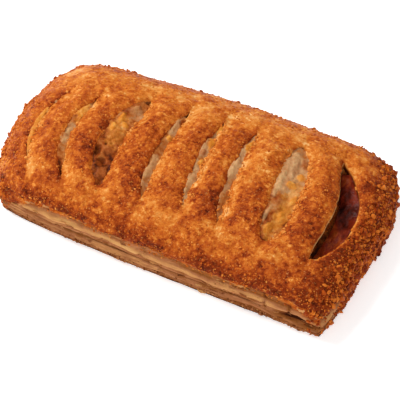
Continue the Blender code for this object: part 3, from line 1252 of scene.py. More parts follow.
@dataclass(frozen=True)
class SkinNumbers:
    """What is known of each of the skin's vertices.

    lip is -1 on a slit's left and 1 on its right, slit counts the slits from 1, and wall and tuck
    are the shares of the way down a slit's wall and round the rim.
    """

    u: np.ndarray
    v: np.ndarray
    lip: np.ndarray
    slit: np.ndarray
    wall: np.ndarray
    tuck: np.ndarray

    @classmethod
    def names(cls) -> list[str]:
        """The numbers' names, which are also those of the mesh's layers."""
        return [item.name for item in fields(cls)]

    def on_rim(self) -> np.ndarray:
        """True on the outline."""
        return np.maximum(np.abs(self.u), np.abs(self.v)) > ON_EDGE


@dataclass
class TopCrust:
    """The browned outer skin of the top sheet, with its slits, lips and granular relief."""

    cell: float = 0.00043
    wall_rings: int = 5
    rim_rings: int = 3
    wall_depth: float = 0.0042
    rim_tuck: float = 0.0016
    lump: float = 0.00055
    lump_size: float = 0.0075
    knob: float = 0.0003
    knob_size: float = 0.0026
    grain: float = 0.00034
    grain_size: float = 0.00125
    end_gain: float = 1.9
    rim_turn: float = 0.0009
    rim_ragged: float = 0.0007
    profile_u: float = 0.07
    profile_steps: int = 4000
    end_steps: int = 800
    base_tone: float = 0.52
    darkest: float = 0.86
    mesh: bpy.types.Mesh | None = None

    def strip_cells(self) -> list[int]:
        """How many columns each strip between two slits has.

        Returns:
            One number for each strip, from the left.
        """
        middles = [slit.x_middle for slit in SLITS]
        halves = [slit.width / 2 for slit in SLITS]
        rise = SHAPE.height - SHAPE.rim
        lefts = [-SHAPE.length / 2 - rise / 2] + [m + h for m, h in zip(middles, halves)]
        rights = [m - h for m, h in zip(middles, halves)] + [SHAPE.length / 2 + rise / 2]
        return [max(4, round((right - left) / self.cell)) for left, right in zip(lefts, rights)]

    def even_rows(self) -> tuple[np.ndarray, int]:
        """Values of v whose rows lie equally far apart over the dome, and how many rows there are.

        Returns:
            The values, and the number.
        """
        v = np.linspace(-1.0, 1.0, self.profile_steps + 1)
        y, z = v * SHAPE.width / 2, SHAPE.crust_height(np.full_like(v, self.profile_u), v)
        run = np.concatenate([[0.0], np.cumsum(np.hypot(np.diff(y), np.diff(z)))])
        rows = round(run[-1] / self.cell)
        return np.interp(np.linspace(0.0, run[-1], rows + 1), run, v), rows

    def end_share(self, step: np.ndarray, lip: float) -> np.ndarray:
        """Shares of the way from the last lip to the end, equally far apart over the shoulder.

        Args:
            step: Even steps from 0 to 1.
            lip: X of the last lip, as on the right end.

        Returns:
            A share for each step.
        """
        x = np.linspace(lip, SHAPE.length / 2, self.end_steps)
        u = x / (SHAPE.length / 2)
        z = SHAPE.crust_height(u, np.zeros_like(u))
        run = np.concatenate([[0.0], np.cumsum(np.hypot(np.diff(x), np.diff(z)))])
        return np.interp(step * run[-1], run, (x - x[0]) / (x[-1] - x[0]))

    def grid(self) -> bmesh.types.BMesh:
        """The skin's flat grid, with u and v stored, and its slits opened and given walls.

        Returns:
            The bmesh, with its walls but without its dome.
        """
        cells = self.strip_cells()
        starts = np.concatenate([[0], np.cumsum(np.array(cells) + 1)])
        columns = int(starts[-1]) - 1
        row_v, rows = self.even_rows()
        bm = new_grid(columns, rows, SkinNumbers.names())
        layer = bm.verts.layers.float
        u_layer, v_layer, lip_layer, slit_layer = (layer[n] for n in ("u", "v", "lip", "slit"))
        xs = self.column_places(cells, row_v)
        gaps = set(int(start) - 1 for start in starts[1:-1])
        cut = [f for f in bm.faces if int((f.calc_center_median().x + 1) / 2 * columns) in gaps]
        for vert in bm.verts:
            column = round((vert.co.x + 1) / 2 * columns)
            row = round((vert.co.y + 1) / 2 * rows)
            vert[u_layer] = xs[row, column]
            vert[v_layer] = row_v[row]
            if column in gaps:
                vert[lip_layer] = -1.0
                vert[slit_layer] = float(np.searchsorted(starts, column))
            elif column - 1 in gaps:
                vert[lip_layer] = 1.0
                vert[slit_layer] = float(np.searchsorted(starts, column - 1))
            vert.co = (vert[u_layer], vert[v_layer], 0.0)
        bmesh.ops.delete(bm, geom=cut, context="FACES")
        bmesh.ops.remove_doubles(bm, verts=bm.verts[:], dist=TINY)
        self.add_walls(bm)
        return bm

    def column_places(self, cells: list[int], row_v: np.ndarray) -> np.ndarray:
        """The u of every grid column at every row.

        Args:
            cells: Columns in each strip.
            row_v: The v of each row.

        Returns:
            One row of u values for each grid row.
        """
        y = row_v * SHAPE.width / 2
        half = SHAPE.length / 2
        parts = []
        for strip, count in enumerate(cells):
            step = np.linspace(0.0, 1.0, count + 1)
            left, right = np.full_like(y, -half), np.full_like(y, half)
            if strip > 0:
                left = SLITS[strip - 1].lips(y)[1]
            if strip < len(SLITS):
                right = SLITS[strip].lips(y)[0]
            if strip == 0:
                step = 1 - self.end_share(1 - step, -SLITS[0].x_middle)
            if strip == len(SLITS):
                step = self.end_share(step, SLITS[-1].x_middle + SLITS[-1].width / 2)
            parts.append(left[:, None] + (right - left)[:, None] * step[None, :])
        return np.concatenate(parts, axis=1) / half

    def add_walls(self, bm: bmesh.types.BMesh) -> None:
        """Gives the slits walls and the outer edge a tucked rim, and closes the skin underneath.

        Args:
            bm: The skin's bmesh.
        """
        u, v = bm.verts.layers.float["u"], bm.verts.layers.float["v"]

        def at_rim(edge: bmesh.types.BMEdge) -> bool:
            """True for an edge of the outline."""
            return all(max(abs(vert[u]), abs(vert[v])) > ON_EDGE for vert in edge.verts)

        slit_edges = boundary_edges(bm, lambda edge: not at_rim(edge))
        rim_edges = boundary_edges(bm, at_rim)
        bottom = drop_rings(bm, slit_edges, self.wall_rings, "wall")
        bottom += drop_rings(bm, rim_edges, self.rim_rings, "tuck")
        for vert in bm.verts:
            vert.co.z = -vert[bm.verts.layers.float["wall"]] - vert[bm.verts.layers.float["tuck"]]
        bmesh.ops.triangle_fill(bm, use_beauty=True, use_dissolve=False, edges=bottom, normal=(0, 0, -1))
        bmesh.ops.recalc_face_normals(bm, faces=bm.faces[:])

    def build(self) -> None:
        """Models the skin: dome and lips first, then lumps and grains along the normals."""
        self.mesh = to_mesh(self.grid(), "crust_top")
        skin = SkinNumbers(*(read(self.mesh, name) for name in SkinNumbers.names()))
        points = SHAPE.crust_points(skin.u, skin.v)
        points[:, 2] -= SHAPE.lip_round(skin.u, skin.v)
        self.shape_walls(points, skin)
        inward = np.column_stack([-skin.u, -skin.v])
        inward /= np.maximum(np.linalg.norm(inward, axis=1), TINY)[:, None]
        points[:, :2] += inward * (self.rim_tuck * np.clip(skin.tuck - 0.3, 0.0, 1.0))[:, None]
        points[:, 2] -= self.rim_turn * np.sqrt(skin.tuck)
        set_places(self.mesh, points)
        self.roughen(skin)
        drop(self.mesh, "lip", "slit", "wall", "tuck")

    def shape_walls(self, points: np.ndarray, skin: SkinNumbers) -> None:
        """Drops the slit walls, undercut on the left of a slit and sloping in on its right.

        Args:
            points: Places to change, one row each.
            skin: The vertices' numbers.
        """
        y = skin.v * SHAPE.width / 2
        for number, cut in enumerate(SLITS, start=1):
            here = (np.round(skin.slit) == number) & (skin.wall > 0)
            open_share = np.clip(cut.half_width(y) / (cut.width / 2), 0.0, 1.0)
            bevel = cut.bevel * np.minimum(skin.wall * self.wall_rings, 1.0)
            left = (bevel - cut.undercut * skin.wall ** (2 if cut.undercut > 0 else 1)) * open_share
            right = -np.minimum(cut.slope, cut.half_width(y) * 0.8) * skin.wall
            points[:, 0] += np.where(here, np.where(skin.lip < 0, left, right), 0.0)
        points[:, 2] -= self.wall_depth * skin.wall

    def roughen(self, skin: SkinNumbers) -> None:
        """Adds the granular relief and stores the numbers that the material reads.

        Args:
            skin: The vertices' numbers.
        """
        mesh = self.mesh
        points, out = places(mesh), normals(mesh)
        lumps = fractal(points, self.lump_size, 2, 11) - 0.5
        knobs = fractal(points, self.knob_size, 2, 23) - 0.5
        coarse, tone = grains(points, self.grain_size, 31)
        fine, fine_tone = grains(points, self.grain_size * 0.55, 47)
        gain = 1 + (self.end_gain - 1) * smoothstep(0.84, 0.97, np.abs(skin.u))
        patch = smoothstep(0.35, 0.7, smooth_noise(points, 0.006, 53))
        crumb = self.grain * gain * (0.45 + 0.75 * patch) * (coarse - 0.5)
        crumb += 0.4 * self.grain * gain * (fine - 0.5)
        height = 2 * self.lump * lumps + 2 * self.knob * knobs + crumb
        height *= np.where(skin.wall > 0, 0.35, 1.0) * (1 - 0.6 * skin.tuck)
        ragged = self.rim_ragged * (fractal(points, 0.004, 2, 61) - 0.45) * skin.on_rim()
        set_places(mesh, points + out * (height + ragged)[:, None])
        write(mesh, "browning", self.browning(skin.u, skin.v, points, tone, fine_tone))
        # proud is how high a place stands on its grains and knobs; the material paints shade where it is
        # low.
        write(mesh, "proud", np.clip(0.5 + 0.5 * (0.6 * coarse + 0.4 * fine) + 0.6 * knobs, 0.0, 1.0))
        write(mesh, "cut", np.clip(smoothstep(0.02, 0.3, skin.wall) + skin.tuck * 0.8, 0.0, 1.0))
        write(mesh, "cut_tone", np.clip(self.cut_tone(skin), 0.0, 1.0))

    def cut_tone(self, skin: SkinNumbers) -> np.ndarray:
        """How dark the dough is where the sheet is cut: pale on left lips with a bevel, darker down the
        walls partly as painted shade.

        Args:
            skin: The vertices' numbers.

        Returns:
            A tone for each vertex.
        """
        number = np.round(skin.slit).astype(int)
        wall_tone_and_shade = np.array([0.4] + [cut.wall_tone_and_shade for cut in SLITS])[number]
        bevelled = np.array([0.0] + [float(cut.bevel > 0) for cut in SLITS])[number]
        start = np.where(bevelled * (skin.lip < 0) > 0, -0.25, 0.35)
        # Darker down each slit wall: partly browner dough, partly painted shade inside the slit.
        down = start + wall_tone_and_shade * smoothstep(0.15, 0.6, skin.wall) + 0.25 * skin.wall
        return np.where(skin.wall > 0, down, 0.3 + 0.4 * skin.tuck)

    def browning(
        self, u: np.ndarray, v: np.ndarray, points: np.ndarray, tone: np.ndarray, fine_tone: np.ndarray
    ) -> np.ndarray:
        """How brown the crust is, from 0 to 1.

        Args:
            u: The u of each vertex.
            v: The v of each vertex.
            points: Its place.
            tone: Random tone of its coarse grain.
            fine_tone: Random tone of its fine grain.

        Returns:
            The browning of each vertex.
        """
        browned = self.base_tone + 0.3 * (fractal(points, 0.014, 2, 71) - 0.5)
        browned += 0.6 * (fractal(points, 0.0045, 3, 83) - 0.5)
        browned += self.strip_tones(u, v, points) + self.side_tones(u, v, points)
        browned += 0.20 * (tone - 0.5) + 0.12 * (fine_tone - 0.5)
        return np.clip(browned, 0.0, self.darkest)

    def strip_tones(self, u: np.ndarray, v: np.ndarray, points: np.ndarray) -> np.ndarray:
        """What the strips between the slits add: dark right flanks, darkest next to the slits partly as
        painted shade, pale left edges, golden lips.

        Args:
            u: The u of each vertex.
            v: The v of each vertex.
            points: Its place.

        Returns:
            The browning added at each vertex.
        """
        over, beside = SHAPE.across_strip(u, v)
        torn = smoothstep(0.3, 0.7, smooth_noise(points, 0.004, 89))
        last = smoothstep(0.79, 0.83, u)
        added = 0.16 * last + 0.14 * beside * bell(over, 0.66, 0.22) * (0.7 - 0.5 * v)
        # Darker right ends of the strips, beside each slit's left lip: partly browner crust, partly painted
        # shade under the lip.
        added += 0.20 * beside * bell(over, 0.97, 0.10)
        added -= 0.30 * beside * bell(over, 0.02, 0.17) * torn * (1 - last)
        y = v * SHAPE.width / 2
        edge = bell(u * SHAPE.length / 2 - SLITS[-1].lips(y)[1], 0.0003, 0.0005)
        added -= 0.42 * edge * (np.abs(SLITS[-1].along(y)) < 0.97) * smoothstep(0.35, -0.1, v)
        return added - 0.36 * torn * SHAPE.golden(u, v, 0.0014, 0.0021)

    @staticmethod
    def side_tones(u: np.ndarray, v: np.ndarray, points: np.ndarray) -> np.ndarray:
        """What the ends and the shoulders add: darker ends and foot, pale patches on the front.

        Args:
            u: The u of each vertex.
            v: The v of each vertex.
            points: Its place.

        Returns:
            The browning added at each vertex.
        """
        pale = smoothstep(0.45, 0.65, fractal(points * np.array([0.6, 1.0, 1.0]), 0.006, 3, 97))
        added = 0.15 * smoothstep(0.84, 1.0, u) + 0.08 * smoothstep(-0.90, -1.0, u)
        added -= (0.14 + 0.16 * bell(u, -0.30, 0.30)) * pale * bell(v, -0.70, 0.09)
        added += 0.20 * smoothstep(-0.88, -0.995, v)
        added -= 0.04 * bell(v, -0.80, 0.10) * smoothstep(-0.75, -0.3, u)
        added += 0.09 * smoothstep(-0.55, -0.85, v) * (1 + 1.3 * smoothstep(0.1, 0.8, u))
        return added - 0.15 * bell(v, 0.66, 0.13) + 0.10 * bell(v, -0.40, 0.22)

    def dress(self) -> bpy.types.Object:
        """Gives the skin its material and sets it in place of the top sheet."""
        drop(self.mesh, "u", "v")
        return finish_piece(self.mesh, BakedCrust().material(), "pastry_lid")


@dataclass(frozen=True)
class Fold:
    """One height on a sheet's side: how far it stands out there and how dark it is, from browning and, near
    the crust's edge, painted shade.
    """

    height: float
    stand: float
    brown: float


# The dark top folds are partly browner layers, partly painted shade under the crust's overhanging edge.
LID_FOLDS = (
    Fold(0.0066, -0.0009, 0.68),
    Fold(0.0073, 0.0001, 0.46),
    Fold(0.0081, 0.0003, 0.40),
    Fold(0.0088, -0.0002, 0.50),
    Fold(0.0094, 0.0003, 0.34),
    Fold(0.0106, 0.0010, 0.18),
    Fold(0.0117, 0.0008, 0.18),
    Fold(0.0125, 0.0001, 0.38),
    Fold(0.0132, -0.0003, 0.54),
    Fold(0.0144, -0.0002, 0.56),
    Fold(0.0166, 0.0000, 0.56),
)
BASE_FOLDS = (
    Fold(0.0000, -0.0012, 0.74),
    Fold(0.0009, -0.0003, 0.60),
    Fold(0.0020, 0.0003, 0.52),
    Fold(0.0028, -0.0001, 0.56),
    Fold(0.0034, 0.0003, 0.44),
    Fold(0.0043, 0.0004, 0.38),
    Fold(0.0050, -0.0002, 0.46),
    Fold(0.0057, 0.0003, 0.38),
    Fold(0.0066, -0.0005, 0.50),
)


@dataclass
class LayeredEdge:
    """A layered side that runs right round one sheet, crusted over at the ends."""

    name: str
    node: str
    folds: tuple[Fold, ...]
    seed: int
    bottom: float
    top: float
    around: int = 940
    cell: float = 0.00034
    sway: float = 0.0022
    leaf: float = 0.00080
    leaf_relief: float = 0.00030
    foot_reach: float = 0.0
    cracks: tuple[float, ...] = ()
    crack_width: float = 0.0006
    crack_depth: float = 0.0007
    swell: float = 0.0016
    groove_height: float = 0.0068
    groove_depth: float = 0.0011
    weld: float = 1e-5
    follows_rim: bool = False
    mesh: bpy.types.Mesh | None = None

    def build(self) -> None:
        """Models the side: a ring of wall with folds, closed over and under."""
        rows = max(8, round((self.top - self.bottom) / self.cell))
        bm = new_grid(self.around, rows, ("walk", "rise"))
        walk, rise = bm.verts.layers.float["walk"], bm.verts.layers.float["rise"]
        for vert in bm.verts:
            vert[walk] = (vert.co.x + 1) / 2
            vert[rise] = (vert.co.y + 1) / 2
            angle = math.tau * vert[walk]
            vert.co = (math.cos(angle), math.sin(angle), vert[rise])
        bmesh.ops.remove_doubles(bm, verts=bm.verts[:], dist=self.weld)
        bmesh.ops.holes_fill(bm, edges=[edge for edge in bm.edges if edge.is_boundary], sides=0)
        bmesh.ops.recalc_face_normals(bm, faces=bm.faces[:])
        self.mesh = to_mesh(bm, self.name)
        self.shape()

    def shape(self) -> None:
        """Bends the ring to the outline and pushes its folds in and out."""
        mesh = self.mesh
        index = np.round(read(mesh, "walk") * self.around).astype(int) % self.around
        rise = read(mesh, "rise")
        u_all, v_all = SHAPE.perimeter(self.around)
        plan = np.column_stack(SHAPE.outline(u_all[:-1], v_all[:-1], -SHAPE.crumb_room))
        tangent = np.roll(plan, -1, axis=0) - np.roll(plan, 1, axis=0)
        tangent /= np.linalg.norm(tangent, axis=1)[:, None]
        outward = np.column_stack([tangent[:, 1], -tangent[:, 0]])[index]
        u, v = u_all[index], v_all[index]
        top = self.top + (SHAPE.rim_height(u) - SHAPE.rim if self.follows_rim else 0.0)
        flat = np.column_stack([plan[index], self.bottom + (top - self.bottom) * rise])
        push, brown = self.folding(u, v, flat)
        cover, crumb = self.crusting(u, v, flat)
        push = push * (1 - 0.8 * cover) + crumb * cover
        push *= smoothstep(-0.02, 0.05, np.minimum(rise, 1 - rise))
        lifted = np.column_stack([outward * push[:, None], np.zeros(len(rise))])
        set_places(mesh, flat + lifted + SHAPE.shift())
        write(mesh, "browning", brown)
        write(mesh, "crusted", cover)
        write(mesh, "crust_browning", np.clip(0.66 + 0.8 * (fractal(flat, 0.005, 3, 5) - 0.5), 0.0, 1.0))
        write(mesh, "u", u)
        write(mesh, "v", v)
        drop(mesh, "walk", "rise")

    def folding(self, u: np.ndarray, v: np.ndarray, flat: np.ndarray) -> Pair:
        """The side's folds, thin leaves and cracks, with painted shade in the groove and the cracks.

        Args:
            u: The u of each vertex.
            v: The v of each vertex.
            flat: Places on the smooth wall, one row each.

        Returns:
            How far each place stands out, and how dark it is, from browning and painted shade.
        """
        level = flat * np.array([1.0, 1.0, 0.0])
        sway = 2 * (fractal(level, 0.030, 3, self.seed) - 0.5)
        sway += 0.5 * (smooth_noise(level, 0.005, self.seed + 3) - 0.5)
        at = flat[:, 2] + self.sway * sway * np.clip(flat[:, 2] / 0.004, 0.25, 1.0)
        heights = [fold.height for fold in self.folds]
        push = np.interp(at, heights, [fold.stand for fold in self.folds])
        brown = np.interp(at, heights, [fold.brown for fold in self.folds])
        push *= 0.5 + 1.1 * fractal(level, 0.012, 2, self.seed + 5)
        drawn = np.column_stack([level[:, :2] * 0.10, at])
        leaves = fractal(drawn, self.leaf, 2, self.seed + 7) - 0.5
        push += 2 * self.leaf_relief * leaves
        push += self.swell * (fractal(flat * np.array([1.0, 1.0, 1.6]), 0.009, 3, self.seed + 9) - 0.5)
        front = (v < -ON_EDGE).astype(float)
        groove = smoothstep(0.70, 0.84, u) * bell(flat[:, 2], self.groove_height, 0.0012) * front
        push -= self.groove_depth * groove
        # Painted shade: the groove is darkened.
        brown += 0.45 * groove
        foot_share = smoothstep(0.68, 0.74, u) * smoothstep(0.0052, 0.0035, flat[:, 2])
        push += self.foot_reach * foot_share * front
        brown += 0.32 * leaves + 0.34 * (fractal(flat, 0.008, 3, self.seed + 21) - 0.5)
        brown += 0.14 * smoothstep(-0.4, 0.9, u)
        for x in self.cracks:
            wander = 0.0012 * (smooth_noise(flat, 0.003, self.seed + 31) - 0.5)
            split = bell(flat[:, 0] + wander, x, self.crack_width) * front
            push -= self.crack_depth * split
            # Painted shade: each crack is darkened.
            brown += 0.25 * split
        return push, np.clip(brown, 0.0, 1.0)

    def crusting(self, u: np.ndarray, v: np.ndarray, flat: np.ndarray) -> Pair:
        """Where crust and crumbs cover the layers, and their relief.

        Args:
            u: The u of each vertex.
            v: The v of each vertex.
            flat: Places on the smooth wall.

        Returns:
            The cover from 0 to 1, and how far the crumb stands out.
        """
        uneven = fractal(flat, 0.005, 3, 91) - 0.5
        bare = np.where(u > 0, smoothstep(-0.74, -0.60, v + 0.3 * uneven), smoothstep(-0.999, -0.93, v))
        cover = np.where(np.abs(u) > ON_EDGE, bare, 0.0)
        line = SHAPE.rim - 0.0112 * np.exp(-(((u + 1) / 0.22) ** 1.5)) - 0.0075 * bell(u, 1.0, 0.16)
        over_front = smoothstep(-0.0010, 0.0012, flat[:, 2] + 0.006 * uneven - line)
        cover = np.maximum(cover, np.where(v < -ON_EDGE, over_front, 0.0))
        over_back = smoothstep(-0.001, 0.001, flat[:, 2] + 0.01 * uneven - SHAPE.rim + 0.003)
        cover = np.maximum(cover, np.where(v > ON_EDGE, over_back, 0.0))
        corners = bell(u, -1.0, 0.03) * (np.abs(v) > ON_EDGE) + bell(u, 1.0, 0.03) * (v > ON_EDGE)
        cover = np.clip(np.maximum(cover, corners), 0.0, 1.0)
        coarse, _ = grains(flat, 0.0016, 97)
        return cover, 0.0006 * (coarse - 0.4) + 0.0022 * (fractal(flat, 0.005, 3, 101) - 0.47)

    def dress(self, material: bpy.types.Material) -> bpy.types.Object:
        """Gives the side its material and sets it in place of its sheet."""
        drop(self.mesh, "u", "v")
        return finish_piece(self.mesh, material, self.node)


@dataclass
class CreamFilling:
    """The filling: its lumpy top swells up into the slits and sinks in the open one."""

    columns: int = 430
    rows: int = 190
    reach: float = 0.86
    corner: float = 0.10
    covered: float = 0.0046
    hollow: float = 0.0072
    hollow_places: tuple[float, ...] = (-0.5, -0.15, 0.2, 1.0, 1.5)
    hollow_shares: tuple[float, ...] = (0.0, 1.0, 1.0, 0.12, 0.0)
    lump: float = 0.0009
    mesh: bpy.types.Mesh | None = None

    def build(self) -> None:
        """Models the filling as a block whose top follows the crust."""
        bm = slab(self.columns, self.rows)
        side = bm.verts.layers.float["side"]
        underside = [face for face in bm.faces if all(vert[side] > 0.5 for vert in face.verts)]
        bmesh.ops.dissolve_faces(bm, faces=underside)
        bmesh.ops.recalc_face_normals(bm, faces=bm.faces[:])
        self.mesh = to_mesh(bm, "cream_filling")
        self.shape()

    def shape(self) -> None:
        """Sets the filling's top to its height and stores how baked it is."""
        mesh = self.mesh
        start, side = places(mesh), read(mesh, "side")
        reach = self.reach - self.corner * np.abs(start[:, 0] * start[:, 1]) ** 4
        u, v = start[:, 0] * reach, start[:, 1] * reach
        points = SHAPE.crust_points(u, v)
        deep = self.depth(u, v)
        rough = (fractal(points, 0.0035, 3, 131) - 0.5) * self.lump * 2
        curds, _ = grains(points, 0.0019, 137)
        rough += (curds - 0.5) * self.lump * 0.25 + self.patches(u, v, points)
        points[:, 2] += np.where(deep < 0.004, rough, rough * 0.3) - deep
        floor = SHAPE.seam_height + SHAPE.gap
        points[:, 2] = np.where(side > 0.5, floor, np.maximum(points[:, 2], floor + 0.001))
        set_places(mesh, points)
        write(mesh, "baked", self.baking(u, v, points))
        drop(mesh, "side")

    def patches(self, u: np.ndarray, v: np.ndarray, points: np.ndarray) -> np.ndarray:
        """Stores how much of each stuff shows, and says how far its patches stand out.

        Args:
            u: The u of each vertex.
            v: The v of each vertex.
            points: Its place.

        Returns:
            The height that the patches add.
        """
        x, y = u * SHAPE.length / 2, v * SHAPE.width / 2
        ragged = 1 + 1.3 * (fractal(points, 0.0022, 3, 163) - 0.5)
        lift = np.zeros_like(x)
        amounts = {stuff: np.zeros_like(x) for stuff in Stuff}
        for spot in SPOTS:
            slit = SLITS[spot.slit]
            middle = (slit.y_front + slit.y_back + spot.along * (slit.y_back - slit.y_front)) / 2
            left, right = slit.lips(np.array([middle]))
            over = (x - left[0] - (right[0] - left[0]) * spot.across) / spot.size[0]
            away = np.hypot(over, (y - middle) / spot.size[1]) * ragged
            lift += spot.lift * np.clip(1 - away**2, 0.0, 1.0)
            amount = spot.share * smoothstep(1.15, 0.6, away)
            amounts[spot.stuff] = np.maximum(amounts[spot.stuff], amount)
        for stuff, amount in amounts.items():
            write(self.mesh, stuff.value, amount)
        return lift

    def depth(self, u: np.ndarray, v: np.ndarray) -> np.ndarray:
        """How deep the filling's top lies under the crust's outer face.

        Args:
            u: Places along the sheet, from -1 to 1.
            v: Places across the sheet, from -1 to 1.

        Returns:
            The depth at each place, in metres.
        """
        x, y = u * SHAPE.length / 2, v * SHAPE.width / 2
        deep = np.full_like(x, self.covered)
        for slit in SLITS[:-1]:
            aside = np.abs(x - slit.centre(y)) - slit.half_width(y)
            inside = smoothstep(0.0018, 0.0004, aside) * smoothstep(1.06, 0.97, np.abs(slit.along(y)))
            deep = np.minimum(deep, self.covered + (slit.fill_depth - self.covered) * inside)
        left, right = SLITS[-1].lips(y)
        over = (x - left) / np.maximum(right - left, TINY)
        hollow = np.interp(over, self.hollow_places, self.hollow_shares)
        openness = np.clip((right - left) / SLITS[-1].width, 0.0, 1.0)
        return deep + self.hollow * hollow * openness

    def baking(self, u: np.ndarray, v: np.ndarray, points: np.ndarray) -> np.ndarray:
        """How browned the filling is: each place takes its nearest slit's tone, a little mottled.

        Args:
            u: The u of each vertex.
            v: The v of each vertex.
            points: Its place.

        Returns:
            From 0 to 1 for each vertex.
        """
        x, y = u * SHAPE.length / 2, v * SHAPE.width / 2
        away = np.stack([np.abs(x - slit.centre(y)) for slit in SLITS])
        tones = np.stack([slit.tone(y) for slit in SLITS])
        nearest = tones[away.argmin(axis=0), np.arange(len(x))]
        return np.clip(nearest + 0.7 * (fractal(points, 0.005, 2, 139) - 0.5), 0.0, 1.0)

    def dress(self) -> bpy.types.Object:
        """Gives the filling its material and sets it in place of its solid."""
        return finish_piece(self.mesh, CreamSauce().material(), "filling")


@dataclass
class HamSlice:
    """The wavy slice of ham that rises from the hollow to the right lip of the open slit."""

    across: tuple[float, float] = (0.10, 1.02)
    length_share: float = 0.90
    thickness: float = 0.0013
    cells: tuple[int, int] = (60, 200)
    wave: float = 0.0009
    ripple: tuple[float, float] = (0.0016, 0.0021)
    least_sink: float = 0.0012
    sink_places: tuple[float, ...] = (0.0, 0.35, 0.75, 1.0)
    sinks: tuple[float, ...] = (0.0082, 0.0064, 0.0036, 0.0018)
    mesh: bpy.types.Mesh | None = None

    def build(self) -> None:
        """Models the slice as a thickened, rippled grid."""
        bm = slab(*self.cells)
        bmesh.ops.recalc_face_normals(bm, faces=bm.faces[:])
        self.mesh = to_mesh(bm, "ham_slice_piece")
        self.shape()

    def shape(self) -> None:
        """Lays the slice along the open slit."""
        mesh = self.mesh
        start, side = places(mesh), read(mesh, "side")
        slit = SLITS[-1]
        middle, half = (slit.y_front + slit.y_back) / 2, (slit.y_back - slit.y_front) / 2
        y = middle + half * self.length_share * start[:, 1]
        left, right = slit.lips(y)
        share = self.across[0] + (self.across[1] - self.across[0]) * (start[:, 0] + 1) / 2
        x = left + (right - left) * share
        u, v = x / (SHAPE.length / 2), y / (SHAPE.width / 2)
        points = SHAPE.crust_points(u, v)
        sink = np.interp(share, self.sink_places, self.sinks)
        openness = np.clip((right - left) / slit.width, 0.0, 1.0)
        points[:, 2] -= self.least_sink + sink * np.sqrt(openness)
        ripple = np.sin(points[:, 1] / self.ripple[1] + points[:, 0] / self.ripple[0]) * 0.5
        ripple += 2.4 * (fractal(points, 0.0045, 3, 151) - 0.5)
        points[:, 2] += self.wave * ripple - np.where(side > 0.5, self.thickness, 0.0)
        set_places(mesh, points)
        write(mesh, "baked", np.clip(0.60 + 1.0 * (fractal(points, 0.006, 2, 157) - 0.5), 0.0, 1.0))
        drop(mesh, "side")

    def dress(self) -> bpy.types.Object:
        """Gives the slice its material and sets it in place of its solid."""
        return finish_piece(self.mesh, CookedHam().material(), "ham_slice")


# ---------------------------------------------------------------- scattered things


def joined(name: str, placed: np.ndarray, faces: np.ndarray) -> bpy.types.Mesh:
    """Joins copies of one triangulated shape into one mesh.

    Args:
        name: The mesh's name.
        placed: Vertex places of every copy, as copies by vertices by 3.
        faces: Triangles of one copy.

    Returns:
        The flat-shaded mesh.
    """
    shifts = np.arange(len(placed)) * placed.shape[1]
    all_faces = faces[None, :, :] + shifts[:, None, None]
    mesh = bpy.data.meshes.new(name)
    mesh.vertices.add(placed.size // 3)
    mesh.loops.add(all_faces.size)
    mesh.polygons.add(all_faces.size // 3)
    mesh.vertices.foreach_set("co", placed.astype(np.float32).ravel())
    mesh.loops.foreach_set("vertex_index", all_faces.astype(np.int32).ravel())
    mesh.polygons.foreach_set("loop_start", np.arange(0, all_faces.size, 3, dtype=np.int32))
    mesh.update(calc_edges=True)
    mesh.shade_flat()
    return mesh


def template(scrap: Scrap) -> Pair:
    """Vertices and triangles of a small shape that is scattered.

    Args:
        scrap: Which shape.

    Returns:
        The vertex places, about 1 across, and the triangles.
    """
    bm = bmesh.new()
    if scrap is Scrap.CRUMB:
        bmesh.ops.create_icosphere(bm, subdivisions=1, radius=1.0)
    else:
        bmesh.ops.create_grid(bm, x_segments=4, y_segments=2, size=1.0)
        bmesh.ops.solidify(bm, geom=bm.faces[:], thickness=0.16)
        for index, vert in enumerate(bm.verts):
            vert.co.y *= 1 - 0.45 * abs(vert.co.x) ** 1.5 + 0.12 * math.sin(index * 1.9)
            vert.co.z += 0.25 * vert.co.x**2
        bmesh.ops.recalc_face_normals(bm, faces=bm.faces[:])
    bmesh.ops.triangulate(bm, faces=bm.faces[:])
    points = np.array([tuple(vert.co) for vert in bm.verts])
    faces = np.array([[vert.index for vert in face.verts] for face in bm.faces])
    bm.free()
    return points, faces


def scatter(
    name: str, scrap: Scrap, centres: np.ndarray, axes: np.ndarray, tones: np.ndarray
) -> bpy.types.Mesh:
    """Joins many uneven copies of a small shape into one mesh.

    Args:
        name: The mesh's name.
        scrap: Which shape.
        centres: Middle of each copy, one row each.
        axes: A 3 by 3 matrix for each copy, which turns and scales it.
        tones: How brown each copy is.

    Returns:
        The mesh, with a browning attribute.
    """
    points, faces = template(scrap)
    uneven = np.random.default_rng(len(centres)).uniform(0.72, 1.15, (len(centres), len(points), 1))
    placed = np.einsum("nij,nkj->nki", axes, points[None, :, :] * uneven) + centres[:, None, :]
    mesh = joined(name, placed, faces)
    write(mesh, "browning", np.repeat(tones, len(points)))
    return mesh


def random_turns(draw: np.random.Generator, count: int) -> np.ndarray:
    """Random rotation matrices, one for each copy.

    Args:
        draw: Source of random numbers.
        count: How many.

    Returns:
        The 3 by 3 matrices.
    """
    quaternion = draw.normal(size=(count, 4))
    w, x, y, z = (quaternion / np.linalg.norm(quaternion, axis=1)[:, None]).T
    rows = [
        [1 - 2 * (y * y + z * z), 2 * (x * y - z * w), 2 * (x * z + y * w)],
        [2 * (x * y + z * w), 1 - 2 * (x * x + z * z), 2 * (y * z - x * w)],
        [2 * (x * z - y * w), 2 * (y * z + x * w), 1 - 2 * (x * x + y * y)],
    ]
    return np.stack([np.stack(row, axis=1) for row in rows], axis=1)


